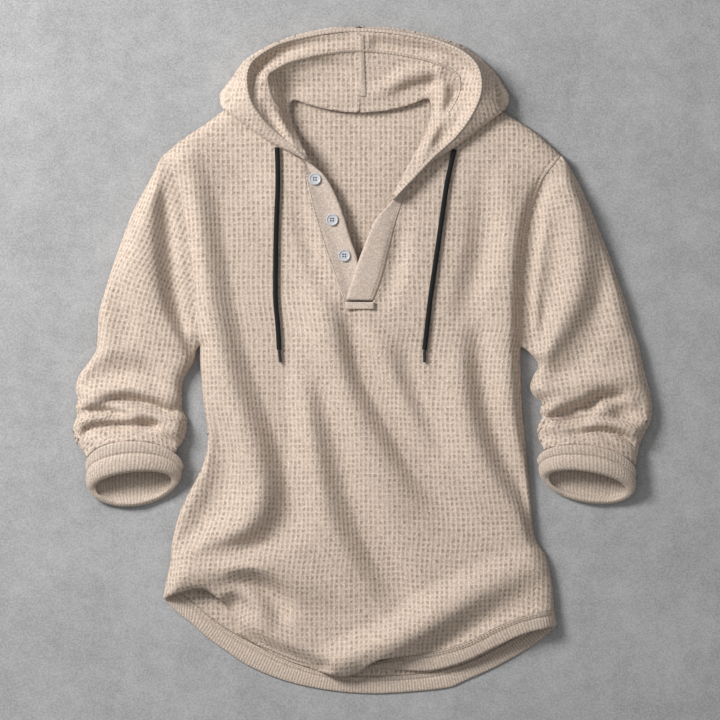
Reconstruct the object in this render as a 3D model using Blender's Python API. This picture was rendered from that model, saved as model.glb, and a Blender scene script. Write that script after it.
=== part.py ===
"""A waffle-knit henley hoodie laid flat on a table, for Blender 4.5.

Units are metres in Blender; the tables below are in millimetres. +Z is up, +Y points from the hem to the
hood, and the origin is on the table under the middle of the body. Every cloth piece is a thin wall whose
plan follows an outline and whose height follows a table of folds.
"""

import math

import bmesh
import bpy
from mathutils import Matrix, Vector
from mathutils.geometry import delaunay_2d_cdt

import numpy as np

MM = 0.001

# Cloth and seams, in millimetres
WALL = 2.4
SEAM_GAP = 0.4
BODY_CELL = 19.0
BACK_CELL = 48.0
SLEEVE_CELL = 16.5
HOOD_CELL = 13.0
SEAM_STEP = 15.0

# Heights above the table
EDGE_TOP = 2 * WALL + SEAM_GAP
BODY_TOP = 20.0
BODY_ROUND = 24.0
SLEEVE_TOP = 24.0
SLEEVE_ROUND = 20.0
SLEEVE_EDGE = 8.0
HOOD_EDGE = 9.0
LEAST_BODY = 9.6
NOSE_DROP = 7.0
LEAST_SLEEVE = 8.5

# Trim
BAND_WALL = 2.2
RIB_PITCH = 11.0
RIB_RISE = 0.7
STRIP_WALL = 1.6
HEM_DROP = 0.8
BAND_HIDDEN = 6.4
BAND_HIDDEN_TO = 52.0
BAND_LIFT_OVER = 60.0
STAND_SINK = 2.8
STRIP_LIFT = 0.6
CASING_WIDTH = 29.0
CASING_STEP = 1.6
CUFF_TURNS = 72
CUFF_SINK = 3.0
BUTTON_RADIUS = 8.5
BUTTON_THICK = 3.0
BUTTON_SIDES = 16
BUTTON_LIFT = 0.7
BUTTON_HOLE = 1.0
BUTTON_HOLE_SPREAD = 1.9
CORD_RADIUS = 3.1
CORD_STEP = 15.0
CORD_LIFT = 0.5
AGLET_RADIUS = 2.3
AGLET_LENGTH = 17.0

OATMEAL = (0.62, 0.50, 0.40, 1.0)
TWILL = (0.60, 0.47, 0.38, 1.0)
BLACK = (0.012, 0.012, 0.012, 1.0)
PEARL = (0.80, 0.80, 0.81, 1.0)
GUNMETAL = (0.06, 0.06, 0.065, 1.0)

# How the folds and the rounded edges are shaped
FOLD_SPREAD = 1.6
FOLD_FADE = 0.6
LEAST_STEEPER = 2.0
MOST_LEAN = 1.7
SIDE_BULGE = 0.22
MOUTH_REACH = 40.0
LEAST_SINE = 0.5
GRID_CLEAR = 0.45
ARMHOLE_BLEND = 30.0
CUFF_BLEND = 26.0
CUFF_TUCK = 2.0

# How the hood lies over the shoulders, and how its height goes from the outside over the rim to the neck
HOOD_OVER_FRONT = 36.0
HOOD_FRONT_EASE = 20.0
HOOD_OVER_BACK = 30.0
HOOD_BACK_EASE = 14.0
HOOD_BODY_REACH = 6.0
HOOD_CLEAR = 2.5
HOOD_BACK_CLEAR = 0.6
HOOD_AIR = 1.6
CREST_LEAST = 5.0
OUTSIDE_POWER = 0.8
WITHIN_POWER = 1.15
NECK_LIFT = 7.0
HOOD_NECK_FADE = 12.0
HOOD_RIM_FADE = 10.0
CASING_START = 6.0
CASING_EASE = 4.0
NO_GAP = 0.01

# Shares of the width at which the points of a strip or band lie
BAND_SHARES = (0.0, 0.26, 0.32, 1.0)
STRIP_SHARES = (0.0, 0.5, 1.0)
BOX_SHARES = (0.0, 0.25, 0.5, 0.75, 1.0)
BOX_STEPS = 3

# Half section of a button, from the middle of its back to the middle of its front: radius and height
BUTTON_PROFILE = (
    (0, 0), (BUTTON_RADIUS - 1, 0), (BUTTON_RADIUS, 1), (BUTTON_RADIUS, BUTTON_THICK - 0.6),
    (BUTTON_RADIUS - 0.9, BUTTON_THICK), (BUTTON_RADIUS - 2.4, BUTTON_THICK - 0.9), (0, BUTTON_THICK - 1.1),
)
HOLE_SIDES = 5
FRAME_STEP = 4.0

# Plan steps around a cord's middle where the cloth below it is felt
CORD_ROOM = ((0, 0), (6, 0), (-6, 0), (0, 6), (0, -6))
CORD_BEVEL = 2

# Outlines: runs of (x, y) points. Each run is one smooth curve; corners are where runs meet.
SHOULDER_LEFT = ((-154, 365), (-188, 351), (-217, 330), (-249, 309), (-276, 286))
ARMHOLE_LEFT = (
    (-276, 286), (-263, 266), (-252, 238), (-244, 196), (-237, 150), (-231, 108), (-227, 59), (-224, 20),
)
SIDE_LEFT = (
    (-224, 20), (-224, -3), (-220, -56), (-213, -101), (-216, -133), (-227, -162), (-241, -188), (-255, -220),
    (-263, -253), (-265, -280), (-272, -311), (-276, -335),
)
SHOULDER_RIGHT = ((281, 286), (265, 302), (245, 319), (217, 337), (196, 350), (165, 365))
ARMHOLE_RIGHT = (
    (225, 20), (225, 71), (227, 112), (230, 150), (235, 189), (244, 224), (255, 252), (266, 269),
    (281, 286),
)
SIDE_RIGHT = (
    (272, -349), (270, -322), (266, -297), (259, -272), (244, -245), (239, -196), (234, -140), (228, -77),
    (225, -28), (225, 20),
)
FRONT_LIP = ((-276, -335), (-255, -326), (-224, -319), (-204, -329), (-190, -340), (-179, -357), (-171, -384))
FRONT_FOLD_EDGE = ((-171, -384), (-119, -413), (-74, -430), (-39, -441), (-17, -442), (-1, -435))
FRONT_HEM = (
    (-1, -435), (21, -420), (52, -414), (88, -410), (147, -395), (193, -372), (231, -357), (272, -349),
)
NECK_RIGHT = ((165, 365), (148, 337), (123, 308), (91, 274), (57, 238))
NECK_LEFT = ((-80, 279), (-106, 297), (-134, 322), (-154, 365))

BACK_NECK = ((-101, 384), (-70, 368), (-35, 360), (0, 357), (35, 360), (67, 368), (101, 384))
BACK_SHOULDER_LEFT = ((-188, 351), (-154, 365), (-101, 384))
BACK_SHOULDER_RIGHT = ((101, 384), (165, 365), (196, 350))
BACK_HEM = (
    (-266, -312), (-252, -325), (-234, -339), (-206, -363), (-174, -384), (-137, -403), (-101, -420), (-63, -433),
    (-21, -441), (28, -442), (73, -440), (112, -434), (147, -424), (185, -406), (224, -382), (269, -344),
)
BAND_BACK_OUTER = (
    (-273, -336), (-255, -354), (-237, -368), (-213, -389), (-188, -407), (-160, -426), (-130, -440), (-98, -451),
    (-63, -459), (-21, -465), (27, -467), (88, -463), (126, -458), (147, -449), (193, -428), (238, -402),
    (274, -374),
)
BAND_FRONT_INNER = (
    (-137, -384), (-84, -406), (-35, -417), (-1, -421), (25, -421), (52, -414), (88, -410), (147, -395),
    (193, -372), (231, -357), (272, -349),
)
BAND_FRONT_OUTER = (
    (-143, -399), (-88, -421), (-38, -433), (-1, -437), (28, -431), (59, -434), (101, -434), (147, -421),
    (193, -399), (231, -382), (276, -371),
)

SLEEVE_LEFT_OUTER = (
    (-277, 284), (-295, 246), (-314, 211), (-328, 176), (-342, 137), (-354, 99), (-363, 67), (-365, 38),
    (-367, 14), (-377, -3), (-391, -22), (-396, -41), (-392, -55), (-396, -66), (-393, -76), (-399, -92),
    (-399, -104), (-393, -119), (-385, -140),
)
SLEEVE_LEFT_INNER = (
    (-249, -137), (-256, -123), (-248, -112), (-244, -94), (-245, -81), (-251, -70), (-251, -52), (-251, -34),
    (-244, -17), (-234, -3), (-230, 14), (-224, 20),
)
SLEEVE_RIGHT_OUTER = (
    (281, 286), (291, 272), (305, 245), (318, 217), (335, 176), (347, 146), (358, 113), (370, 80),
    (378, 49), (388, 21), (393, -3), (399, -27), (405, -50), (407, -67), (405, -85), (396, -104),
    (389, -122), (388, -133), (382, -147),
)
SLEEVE_RIGHT_INNER = (
    (258, -120), (252, -113), (249, -99), (252, -90), (258, -81), (253, -71), (258, -60), (245, -49),
    (240, -38), (244, -24), (252, -8), (242, 7), (225, 20),
)

HOOD_LEFT_RIM_SIDE = (
    (0, 466), (-42, 463), (-81, 455), (-106, 447), (-130, 437), (-147, 427), (-162, 416), (-176, 396),
    (-188, 381), (-195, 370), (-195, 361), (-188, 350),
)
HOOD_LEFT_FALL = ((-188, 350), (-167, 336), (-144, 319), (-122, 305), (-95, 290), (-69, 274))
HOOD_LEFT_NECK = ((-69, 274), (-81, 297), (-92, 322), (-99, 347), (-95, 365), (-70, 358), (-35, 350), (0, 347))
HOOD_RIGHT_NECK = ((0, 347), (35, 350), (70, 358), (94, 367), (101, 353), (95, 325), (81, 294), (62, 260), (46, 228))
HOOD_RIGHT_TIP = ((46, 228), (46, 220))
HOOD_RIGHT_FALL = ((46, 220), (90, 269), (116, 288), (139, 304), (168, 326), (199, 349))
HOOD_RIGHT_RIM_SIDE = (
    (199, 349), (206, 358), (206, 371), (197, 386), (188, 400), (171, 417), (154, 430), (139, 440),
    (112, 449), (90, 455), (45, 463), (0, 466),
)

# Each rim row: x, y, height of the crest above the table
RIM_LEFT = (
    (-76, 280, 30), (-90, 291, 32), (-109, 308, 36), (-136, 333, 42), (-153, 361, 47), (-158, 391, 48),
    (-153, 413, 45), (-137, 428, 39), (-112, 442, 34), (-81, 451, 31), (-42, 459, 29), (0, 462, 28),
)
RIM_RIGHT = (
    (0, 462, 28), (45, 459, 29), (90, 451, 31), (119, 442, 34), (144, 430, 39), (162, 413, 44),
    (169, 392, 47), (167, 367, 47), (153, 337, 43), (133, 311, 38), (106, 286, 34), (73, 252, 30),
    (50, 228, 28),
)

# Folds: rows of x, y, rise (plus for a ridge, minus for a hollow) and half width.
# SOFT folds are rounded, SHARP ones pinch to a line.
SOFT, SHARP = 1, 2
FRONT_FOLDS = (
    ("armhole roll left", SOFT, ((-269, 269, 0, 14), (-251, 224, 3, 17), (-234, 137, 4, 18), (-225, 42, 4, 21), (-218, -28, 2, 21))),
    ("hip ridge left", SOFT, ((-211, 42, 2, 25), (-202, -35, 10, 28), (-182, -91, 14, 31), (-161, -143, 17, 34), (-155, -175, 17, 34), (-171, -214, 16, 31), (-204, -244, 13, 28), (-238, -267, 9, 25), (-258, -288, 4, 22))),
    ("chest hollow left", SOFT, ((-220, 245, -2, 31), (-209, 175, -7, 34), (-193, 84, -8, 36), (-171, -28, -9, 36), (-139, -106, -10, 34), (-119, -161, -10, 34), (-126, -207, -10, 34), (-154, -241, -9, 28), (-189, -260, -8, 25), (-224, -280, -4, 22))),
    ("side hollow left", SOFT, ((-206, -63, 0, 17), (-193, -109, -6, 21), (-189, -148, -8, 24), (-204, -189, -8, 25), (-227, -227, -7, 25), (-246, -260, -2, 20))),
    ("belly hollow", SOFT, ((-87, -21, 0, 25), (-67, -84, -5, 28), (-42, -168, -8, 31), (-17, -245, -9, 34), (11, -294, -8, 34), (45, -344, -2, 28))),
    ("belly ridge", SOFT, ((-53, 28, 0, 25), (-21, -63, 5, 31), (8, -133, 8, 34), (38, -185, 7, 34), (67, -241, 2, 31))),
    ("waist rise", SOFT, ((-105, -56, 2, 28), (-85, -154, 5, 34), (-76, -252, 5, 36), (-45, -301, 1, 31))),
    ("placket drop hollow", SOFT, ((-21, 67, -1, 17), (-3, 21, -7, 21), (21, -39, -10, 24), (53, -101, -10, 25), (78, -151, -9, 28), (115, -199, -5, 28), (171, -232, -3, 28), (217, -244, 0, 25))),
    ("small hollow", SOFT, ((49, -3, 0, 14), (67, -49, -5, 17), (87, -91, -5, 20), (113, -143, 0, 17))),
    ("hip hollow right", SOFT, ((150, 49, 0, 17), (154, -14, -7, 18), (165, -70, -10, 20), (181, -122, -10, 21), (200, -165, -10, 21), (224, -206, -10, 20), (245, -244, -8, 17))),
    ("side ridge right", SOFT, ((196, 189, 0, 28), (204, 84, 4, 31), (207, -28, 5, 28), (218, -119, 4, 25), (235, -196, 1, 17))),
    ("hip ridge right", SOFT, ((112, 56, 0, 25), (132, -49, 6, 31), (154, -126, 8, 31), (183, -196, 7, 28), (220, -248, 4, 22))),
    ("hem sweep ridge", SOFT, ((-59, -431, 2, 20), (-24, -414, 10, 25), (21, -392, 14, 28), (63, -367, 16, 29), (112, -336, 17, 29), (161, -308, 16, 29), (203, -288, 12, 28), (248, -272, 6, 22))),
    ("hem sweep hollow", SOFT, ((-1, -444, -1, 11), (25, -426, -6, 14), (49, -413, -10, 17), (84, -393, -11, 20), (126, -368, -11, 21), (172, -342, -10, 22), (216, -322, -8, 22), (259, -307, -4, 20))),
    ("lip ridge", SOFT, ((-273, -326, 6, 17), (-249, -305, 11, 21), (-213, -288, 14, 24), (-174, -277, 15, 25), (-137, -276, 14, 25), (-98, -287, 11, 25), (-59, -305, 7, 25), (-25, -322, 1, 22))),
    ("lip hollow", SOFT, ((-188, -307, -1, 7), (-168, -300, -9, 13), (-137, -301, -12, 17), (-113, -318, -12, 18), (-104, -339, -9, 18), (-105, -364, -2, 17))),
    ("lip crease", SOFT, ((-230, -321, 4, 8), (-193, -318, 7, 11), (-162, -325, 7, 13), (-140, -340, 6, 14), (-125, -367, 2, 14))),
    ("second lip hollow", SOFT, ((-185, -332, -2, 8), (-160, -336, -5, 11), (-143, -353, -3, 13))),
    ("stand hollow", SOFT, ((-90, 238, -1, 14), (-74, 182, -6, 17), (-50, 119, -5, 17), (-31, 76, -1, 14))),
    ("strip hollow", SOFT, ((56, 203, -1, 14), (48, 154, -6, 17), (31, 98, -4, 17), (11, 62, 0, 14))),
    ("chest rise", SOFT, ((-140, 112, 0, 25), (-130, 21, 4, 28), (-112, -73, 2, 28))),
    ("chest dip right", SOFT, ((165, 217, 0, 17), (169, 161, -4, 18), (153, 98, 0, 17))),
    ("box rise", SOFT, ((14, 59, 1, 20), (49, 31, 3, 22), (98, 21, 1, 22))),
)
SLEEVE_LEFT_FOLDS = (
    ("upper ridge", SOFT, ((-280, 266, 0, 14), (-293, 232, 7, 22), (-300, 189, 11, 28), (-302, 137, 12, 29), (-295, 88, 12, 27), (-280, 56, 10, 22), (-258, 31, 8, 17), (-239, 13, 4, 13))),
    ("underarm hollow", SOFT, ((-272, 258, -3, 8), (-272, 217, -10, 13), (-270, 175, -12, 15), (-267, 133, -13, 15), (-262, 95, -14, 14), (-255, 67, -14, 13), (-244, 39, -13, 11), (-232, 18, -10, 10))),
    ("gusset", SOFT, ((-263, 224, -2, 14), (-253, 175, -5, 17), (-245, 119, -6, 17), (-235, 56, -8, 14))),
    ("outer dip", SOFT, ((-339, 123, 0, 14), (-342, 84, -5, 18), (-329, 53, -5, 20), (-308, 31, 0, 17))),
    ("elbow hollow", SOFT, ((-395, -35, -4, 11), (-375, -25, -8, 17), (-353, -18, -10, 20), (-326, -17, -10, 20), (-302, -21, -9, 20), (-284, -32, -7, 15), (-265, -48, -1, 11))),
    ("elbow ridge", SOFT, ((-389, -53, 1, 10), (-353, -43, 6, 13), (-315, -38, 7, 13), (-287, -49, 6, 13), (-263, -62, 3, 11))),
    ("first crease", SHARP, ((-368, -60, 0, 8), (-350, -57, -12, 13), (-329, -55, -16, 14), (-309, -58, -17, 14), (-287, -64, -17, 13), (-270, -71, -15, 11), (-251, -72, -11, 10))),
    ("first roll", SOFT, ((-386, -62, 4, 10), (-347, -64, 5, 10), (-308, -71, 6, 11), (-280, -80, 6, 11), (-255, -85, 4, 13))),
    ("second crease", SHARP, ((-396, -76, -9, 10), (-375, -70, -13, 11), (-354, -71, -15, 11), (-336, -74, -13, 11), (-316, -77, 0, 8))),
    ("third crease", SHARP, ((-395, -109, -4, 11), (-386, -102, -11, 13), (-375, -94, -12, 11), (-354, -91, -13, 11), (-329, -91, -14, 11), (-308, -91, -15, 11), (-288, -92, -16, 13), (-276, -90, 0, 10))),
    ("third roll", SOFT, ((-389, -84, 3, 10), (-350, -83, 5, 10), (-315, -83, 4, 10))),
    ("last roll", SOFT, ((-315, -98, 2, 8), (-280, -101, 5, 10), (-255, -101, 5, 11))),
    ("fourth crease", SHARP, ((-367, -116, 0, 8), (-353, -108, -11, 11), (-337, -102, -13, 11), (-318, -104, -10, 10), (-302, -102, -11, 10), (-287, -108, -13, 11), (-273, -112, -14, 11), (-263, -118, -13, 10), (-255, -125, -10, 8))),
)
SLEEVE_RIGHT_FOLDS = (
    ("upper ridge", SOFT, ((284, 266, 0, 14), (294, 231, 7, 20), (304, 189, 11, 24), (309, 143, 12, 25), (304, 101, 12, 24), (290, 66, 11, 20), (273, 34, 9, 15), (256, 3, 5, 11))),
    ("armhole hollow", SOFT, ((253, 230, -4, 10), (244, 189, -10, 11), (235, 137, -14, 11), (232, 91, -15, 11), (234, 42, -14, 11), (241, 14, -10, 8))),
    ("under layer", SOFT, ((269, 175, -4, 20), (265, 123, -7, 21), (256, 77, -9, 18), (248, 28, -10, 14))),
    ("under layer pleat", SOFT, ((245, 105, 0, 7), (245, 70, 5, 7), (245, 21, 4, 7))),
    ("outer flank", SOFT, ((325, 189, -2, 14), (333, 133, -5, 18), (333, 84, -6, 20), (322, 35, -6, 21), (297, -3, -7, 21), (274, -22, -6, 17), (255, -31, -2, 11))),
    ("elbow ridge", SOFT, ((249, -39, 5, 13), (283, -39, 7, 15), (325, -32, 7, 15), (364, -25, 5, 15), (392, -25, 2, 14))),
    ("first crease", SHARP, ((253, -83, -10, 10), (274, -78, -14, 11), (293, -71, -16, 13), (311, -65, -17, 14), (326, -57, -18, 14), (340, -52, -15, 13), (361, -50, -12, 13), (378, -52, 0, 11))),
    ("crease pocket", SOFT, ((308, -73, 0, 7), (322, -67, -7, 10), (337, -62, 0, 7))),
    ("first roll", SOFT, ((259, -67, 5, 10), (287, -60, 6, 11), (315, -52, 5, 10))),
    ("cave", SOFT, ((353, -59, -3, 11), (367, -70, -11, 15), (384, -73, -9, 15), (392, -62, -3, 13))),
    ("second crease", SHARP, ((272, -88, 0, 8), (284, -85, -13, 11), (297, -83, -16, 13), (312, -83, -14, 11), (329, -81, -5, 10), (356, -81, -9, 11), (384, -81, 0, 11))),
    ("second roll", SOFT, ((263, -95, 4, 10), (301, -94, 5, 10), (336, -88, 6, 10), (367, -92, 5, 11), (386, -106, 3, 10))),
    ("third crease", SHARP, ((283, -106, 0, 8), (297, -103, -12, 10), (308, -104, -14, 11), (322, -100, -12, 10), (339, -99, -12, 10), (356, -101, -13, 11), (371, -108, -14, 11), (385, -119, -10, 11))),
    ("side pocket", SOFT, ((249, -112, -5, 10), (259, -112, -8, 11), (269, -116, 0, 8))),
    ("fourth crease", SHARP, ((333, -106, 0, 7), (344, -112, -9, 10), (356, -120, -11, 10), (370, -132, -11, 10), (382, -143, -8, 8))),
)
# Hood folds are counted from the slope that runs from the rim down to the neck seam.
HOOD_FOLDS = (
    ("pillow left", SOFT, ((-129, 399, 12, 10), (-106, 413, 15, 13), (-81, 420, 13, 14), (-49, 426, 8, 14), (-14, 428, 2, 14))),
    ("hollow left", SOFT, ((-111, 395, -10, 10), (-101, 386, -14, 13), (-81, 384, -12, 14), (-53, 384, -5, 17), (-25, 386, 0, 14))),
    ("channel left", SOFT, ((-150, 375, -2, 8), (-148, 399, -6, 8), (-137, 412, -8, 8), (-112, 427, -6, 8), (-70, 437, -3, 8), (-21, 442, 0, 8))),
    ("flap left", SOFT, ((-129, 398, 8, 8), (-119, 371, 9, 8), (-112, 347, 9, 8), (-102, 322, 7, 8), (-88, 297, 3, 7))),
    ("crease left", SOFT, ((-42, 420, 0, 8), (-24, 409, 3, 10), (-14, 389, 0, 8))),
    ("pillow right", SOFT, ((108, 409, 12, 10), (84, 409, 10, 13), (56, 400, 7, 13), (34, 381, 2, 13))),
    ("hollow right", SOFT, ((101, 392, -8, 8), (84, 385, -12, 11), (62, 378, -9, 13), (39, 367, 0, 13))),
    ("channel right", SOFT, ((160, 370, -2, 8), (158, 395, -5, 8), (143, 412, -6, 8), (119, 426, -5, 8), (77, 437, -3, 8), (25, 442, 0, 8))),
    ("flap right", SOFT, ((109, 406, 8, 8), (113, 375, 8, 8), (109, 347, 8, 8), (99, 316, 7, 8), (85, 286, 4, 8))),
    ("dip right", SOFT, ((137, 395, -2, 11), (137, 364, -4, 13), (126, 333, -3, 11))),
    ("middle seam", SHARP, ((0, 456, 2, 8), (1, 420, 3, 8), (1, 384, 3, 8), (0, 353, 1, 8))),
)

# Placket edges, from the neck down
STAND_INNER = ((-70, 276), (-48, 255), (-29, 218), (-13, 168), (-3, 137), (1, 84))
STAND_OUTER = ((-78, 272), (-71, 238), (-53, 174), (-36, 125), (-24, 90), (-18, 80))
STRIP_INNER = ((45, 223), (22, 197), (6, 160), (-8, 122), (-20, 84))
STRIP_OUTER = ((63, 232), (49, 190), (35, 133), (27, 106), (18, 83))
BOX_SIDES = (((-21, 81), (-21, 71)), ((20, 81), (20, 71)))
SLIT_END = (((18, 83), (18, 77)), ((18, 77), (-18, 76)), ((-18, 76), (-18, 80)))
NECK_TO_STRIP = ((57, 238), (63, 232))
STAND_TO_NECK = ((-78, 272), (-80, 279))
BUTTONS = ((-63, 253), (-39, 196), (-22, 146))

# Drawcord routes, from where they leave the hood hem to the tip
CORD_LEFT = ((-116, 297), (-115, 273), (-115, 238), (-117, 189), (-118, 137), (-118, 84), (-115, 49), (-113, 14))
CORD_RIGHT = ((132, 294), (126, 269), (120, 238), (113, 189), (105, 133), (98, 84), (94, 49), (90, 14))
CORD_LEFT_TIP = (-111, -4)
CORD_RIGHT_TIP = (90, -4)

# Cuffs: left and right end of the flattened tube, and how far the upper and the lower layer run past the
# line between those ends; height; and the part of the back edge that the sleeve meets, in degrees
CUFFS = {
    "cuff_left": {
        "back": ((-384, -143), (-246, -148), 33, 31),
        "mouth": ((-381, -182), (-253, -169), 19, -29),
        "rise": 36.0,
        "sleeve": (165, 35),
    },
    "cuff_right": {
        "back": ((247, -137), (386, -154), 27, 25),
        "mouth": ((253, -165), (384, -186), 19, -24),
        "rise": 36.0,
        "sleeve": (150, 15),
    },
}

# Cuff wall from its back edge to its mouth and back inside: share of the way, depth below the outer skin,
# and whether ribs show there
CUFF_SECTION = (
    (0.00, 3.2, 0), (0.05, 0.8, 0), (0.14, 0.4, 1), (0.44, 1.3, 1), (0.52, 0.0, 1), (0.88, 0.0, 1),
    (0.98, 2.0, 0), (1.00, 4.4, 0), (0.94, 7.0, 0), (0.06, 7.0, 0),
)


# ---------------------------------------------------------------- paths

def smooth(rows, pieces):
    """A Catmull-Rom curve through the rows, with the given number of pieces between neighbours."""
    rows = np.array(rows, float)
    before = np.vstack((2 * rows[0] - rows[1], rows[:-1]))
    after = np.vstack((rows[1:], 2 * rows[-1] - rows[-2]))
    slopes = (after - before) / 2
    found = [rows[0]]
    for i in range(len(rows) - 1):
        for k in range(1, pieces + 1):
            t = k / pieces
            found.append(
                (2 * t**3 - 3 * t**2 + 1) * rows[i]
                + (t**3 - 2 * t**2 + t) * slopes[i]
                + (3 * t**2 - 2 * t**3) * rows[i + 1]
                + (t**3 - t**2) * slopes[i + 1]
            )
    return np.array(found)


def lengths(path):
    """How far along the path each of its points lies."""
    steps = np.hypot(*np.diff(path[:, :2], axis=0).T)
    return np.concatenate(([0.0], np.cumsum(steps)))


def spaced(rows, count):
    """The smooth curve through the rows as this many even steps."""
    path = smooth(rows, 8)
    along = lengths(path)
    wanted = np.linspace(0, along[-1], count + 1)
    return np.column_stack([np.interp(wanted, along, column) for column in path.T])


def steps_in(rows, step):
    """How many steps of about this length fit on the curve through the rows."""
    return max(1, round(lengths(smooth(rows, 8))[-1] / step))


def nearest(points, path):
    """Distance from each point to the path, and the place on it, counted in path points."""
    best = np.full(len(points), np.inf)
    along = np.zeros(len(points))
    for i in range(len(path) - 1):
        start = path[i]
        run = path[i + 1] - start
        t = np.clip((points - start) @ run / max(run @ run, 1e-12), 0, 1)
        gap = np.hypot(*(points - start - t[:, None] * run).T)
        closer = gap < best
        best = np.where(closer, gap, best)
        along = np.where(closer, i + t, along)
    return best, along


def gap_to(points, *runs):
    """Distance from each point to the nearest of several runs."""
    return np.min([nearest(points, smooth(run, 4))[0] for run in runs], axis=0)


def inside(points, ring):
    """True for each point within the closed ring."""
    found = np.zeros(len(points), bool)
    x, y = points.T
    for (x0, y0), (x1, y1) in zip(ring, np.roll(ring, -1, axis=0)):
        if y0 == y1:
            continue
        crosses = (y0 > y) != (y1 > y)
        found ^= crosses & (x < x0 + (y - y0) * (x1 - x0) / (y1 - y0))
    return found


def eased(value):
    """0 to 1 with soft ends."""
    value = np.clip(value, 0, 1)
    return value * value * (3 - 2 * value)


def rounded(value):
    """0 to 1 like the side of a round edge."""
    value = np.clip(value, 0, 1)
    return np.sqrt(value * (2 - value))


# ---------------------------------------------------------------- heights

def relief(points, folds):
    """How far the folds lift or sink each point."""
    total = np.zeros(len(points))
    for _name, kind, rows in folds:
        line = smooth(rows, 4)
        gap, along = nearest(points, line[:, :2])
        places = np.arange(len(line))
        rise = np.interp(along, places, line[:, 2])
        width = FOLD_SPREAD * np.interp(along, places, line[:, 3])
        near = np.clip(1 - gap / width, 0, 1)
        total += rise * (near * near * (3 - 2 * near) if kind == SOFT else near * near)
    return total


def lying(points, edges, edge, top, reach, folds, least):
    """Height of cloth that starts low at its free edges and rises to its folds."""
    gap = gap_to(points, *edges)
    lift = relief(points, folds) * eased(gap / (FOLD_FADE * reach))
    full = edge + (top - edge) * rounded(gap / reach) + lift
    floor = edge + (least - edge) * rounded(LEAST_STEEPER * gap / reach)
    return np.maximum(full, floor)


BODY_EDGES = (SHOULDER_LEFT, SHOULDER_RIGHT, SIDE_LEFT, SIDE_RIGHT, BACK_SHOULDER_LEFT, BACK_SHOULDER_RIGHT)


def body_top(points):
    """Outer height of the front panel, a little lower along the edge that is turned under."""
    height = lying(points, BODY_EDGES, EDGE_TOP, BODY_TOP, BODY_ROUND, FRONT_FOLDS, LEAST_BODY)
    nose = NOSE_DROP * (1 - rounded(gap_to(points, FRONT_FOLD_EDGE) / BODY_ROUND))
    return np.maximum(height - nose, EDGE_TOP)


def sleeve_top(points, outer, inner, folds, armhole, cuff):
    """Outer height of a sleeve's upper side, meeting the body at the armhole and the cuff at the end."""
    height = lying(points, (outer, inner), SLEEVE_EDGE, SLEEVE_TOP, SLEEVE_ROUND, folds, LEAST_SLEEVE)
    to_body = eased(nearest(points, np.array(armhole))[0] / ARMHOLE_BLEND)
    height = height * to_body + np.maximum(body_top(points), EDGE_TOP) * (1 - to_body)
    end = cuff_end(cuff)
    to_cuff = eased(nearest(points, end)[0] / CUFF_BLEND)
    left, right = np.array(CUFFS[cuff]["back"][0]), np.array(CUFFS[cuff]["back"][1])
    across = np.clip((points[:, 0] - (left[0] + right[0]) / 2) / ((right[0] - left[0]) / 2), -1, 1)
    meeting = cuff_height(np.sqrt(1 - across * across), CUFFS[cuff]["rise"]) - CUFF_TUCK
    return height * to_cuff + meeting * (1 - to_cuff)


def ring_gap(points, ring):
    """Distance to the ring, positive inside it."""
    gap = nearest(points, np.vstack((ring, ring[:1])))[0]
    return np.where(inside(points, ring), gap, -gap)


def hood_under(points):
    """Underside of the hood: on the table, and lifted over the shoulders and the neck."""
    over_front = eased((ring_gap(points, ring_of(FRONT_RUNS)) + HOOD_OVER_FRONT) / HOOD_FRONT_EASE)
    body_ring = ring_of(BACK_RUNS)
    over_back = eased((ring_gap(points, body_ring) + HOOD_OVER_BACK) / HOOD_BACK_EASE)
    gap = gap_to(points, *BODY_EDGES)
    gap = np.where(inside(points, body_ring), gap, -gap)
    front = EDGE_TOP + (BODY_TOP - EDGE_TOP) * rounded((gap + HOOD_BODY_REACH) / BODY_ROUND) + HOOD_CLEAR
    back = WALL + SEAM_GAP + HOOD_BACK_CLEAR
    return np.maximum(front * over_front, back * over_back)


def hood_top(points):
    """Upper height of the hood: up to the rim from the outside, then down to the neck seam."""
    under = hood_under(points)
    rim = smooth(RIM_LEFT + RIM_RIGHT[1:], 4)
    rim_gap, along = nearest(points, rim[:, :2])
    crest = np.interp(along, np.arange(len(rim)), rim[:, 2])
    outer_gap = gap_to(points, HOOD_LEFT_RIM_SIDE, HOOD_LEFT_FALL, HOOD_RIGHT_FALL, HOOD_RIGHT_RIM_SIDE)
    neck_gap = gap_to(points, HOOD_LEFT_NECK, HOOD_RIGHT_NECK)
    crest = np.maximum(crest, under + HOOD_EDGE + CREST_LEAST)
    outside = under + HOOD_EDGE
    outside = outside + (crest - outside) * (outer_gap / (outer_gap + rim_gap + NO_GAP)) ** OUTSIDE_POWER
    neck = under + NECK_LIFT
    slope = (neck_gap / (neck_gap + rim_gap + NO_GAP)) ** WITHIN_POWER
    within = neck + (crest - neck) * slope
    within += relief(points, HOOD_FOLDS) * eased(neck_gap / HOOD_NECK_FADE) * eased(rim_gap / HOOD_RIM_FADE)
    within += CASING_STEP * (1 - eased((rim_gap - CASING_WIDTH) / CASING_EASE)) * eased(rim_gap / CASING_START)
    top = np.where(inside(points, rim[:, :2]), within, outside)
    return np.maximum(top, under + 2 * WALL + HOOD_AIR)


# ---------------------------------------------------------------- plans

def run_points(run):
    """A run as even steps; a run that is an array already is left as it is."""
    if isinstance(run, np.ndarray):
        return run
    return spaced(run, steps_in(run, SEAM_STEP))


def ring_of(runs):
    """The runs of an outline as one closed ring of points."""
    return np.vstack([run_points(run)[:-1] for run in runs])


def labels_of(runs, closed):
    """For each side of the ring, whether its run is one of the closed ones."""
    found = []
    for i, run in enumerate(runs):
        found += [i in closed] * (len(run_points(run)) - 1)
    return found


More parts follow.
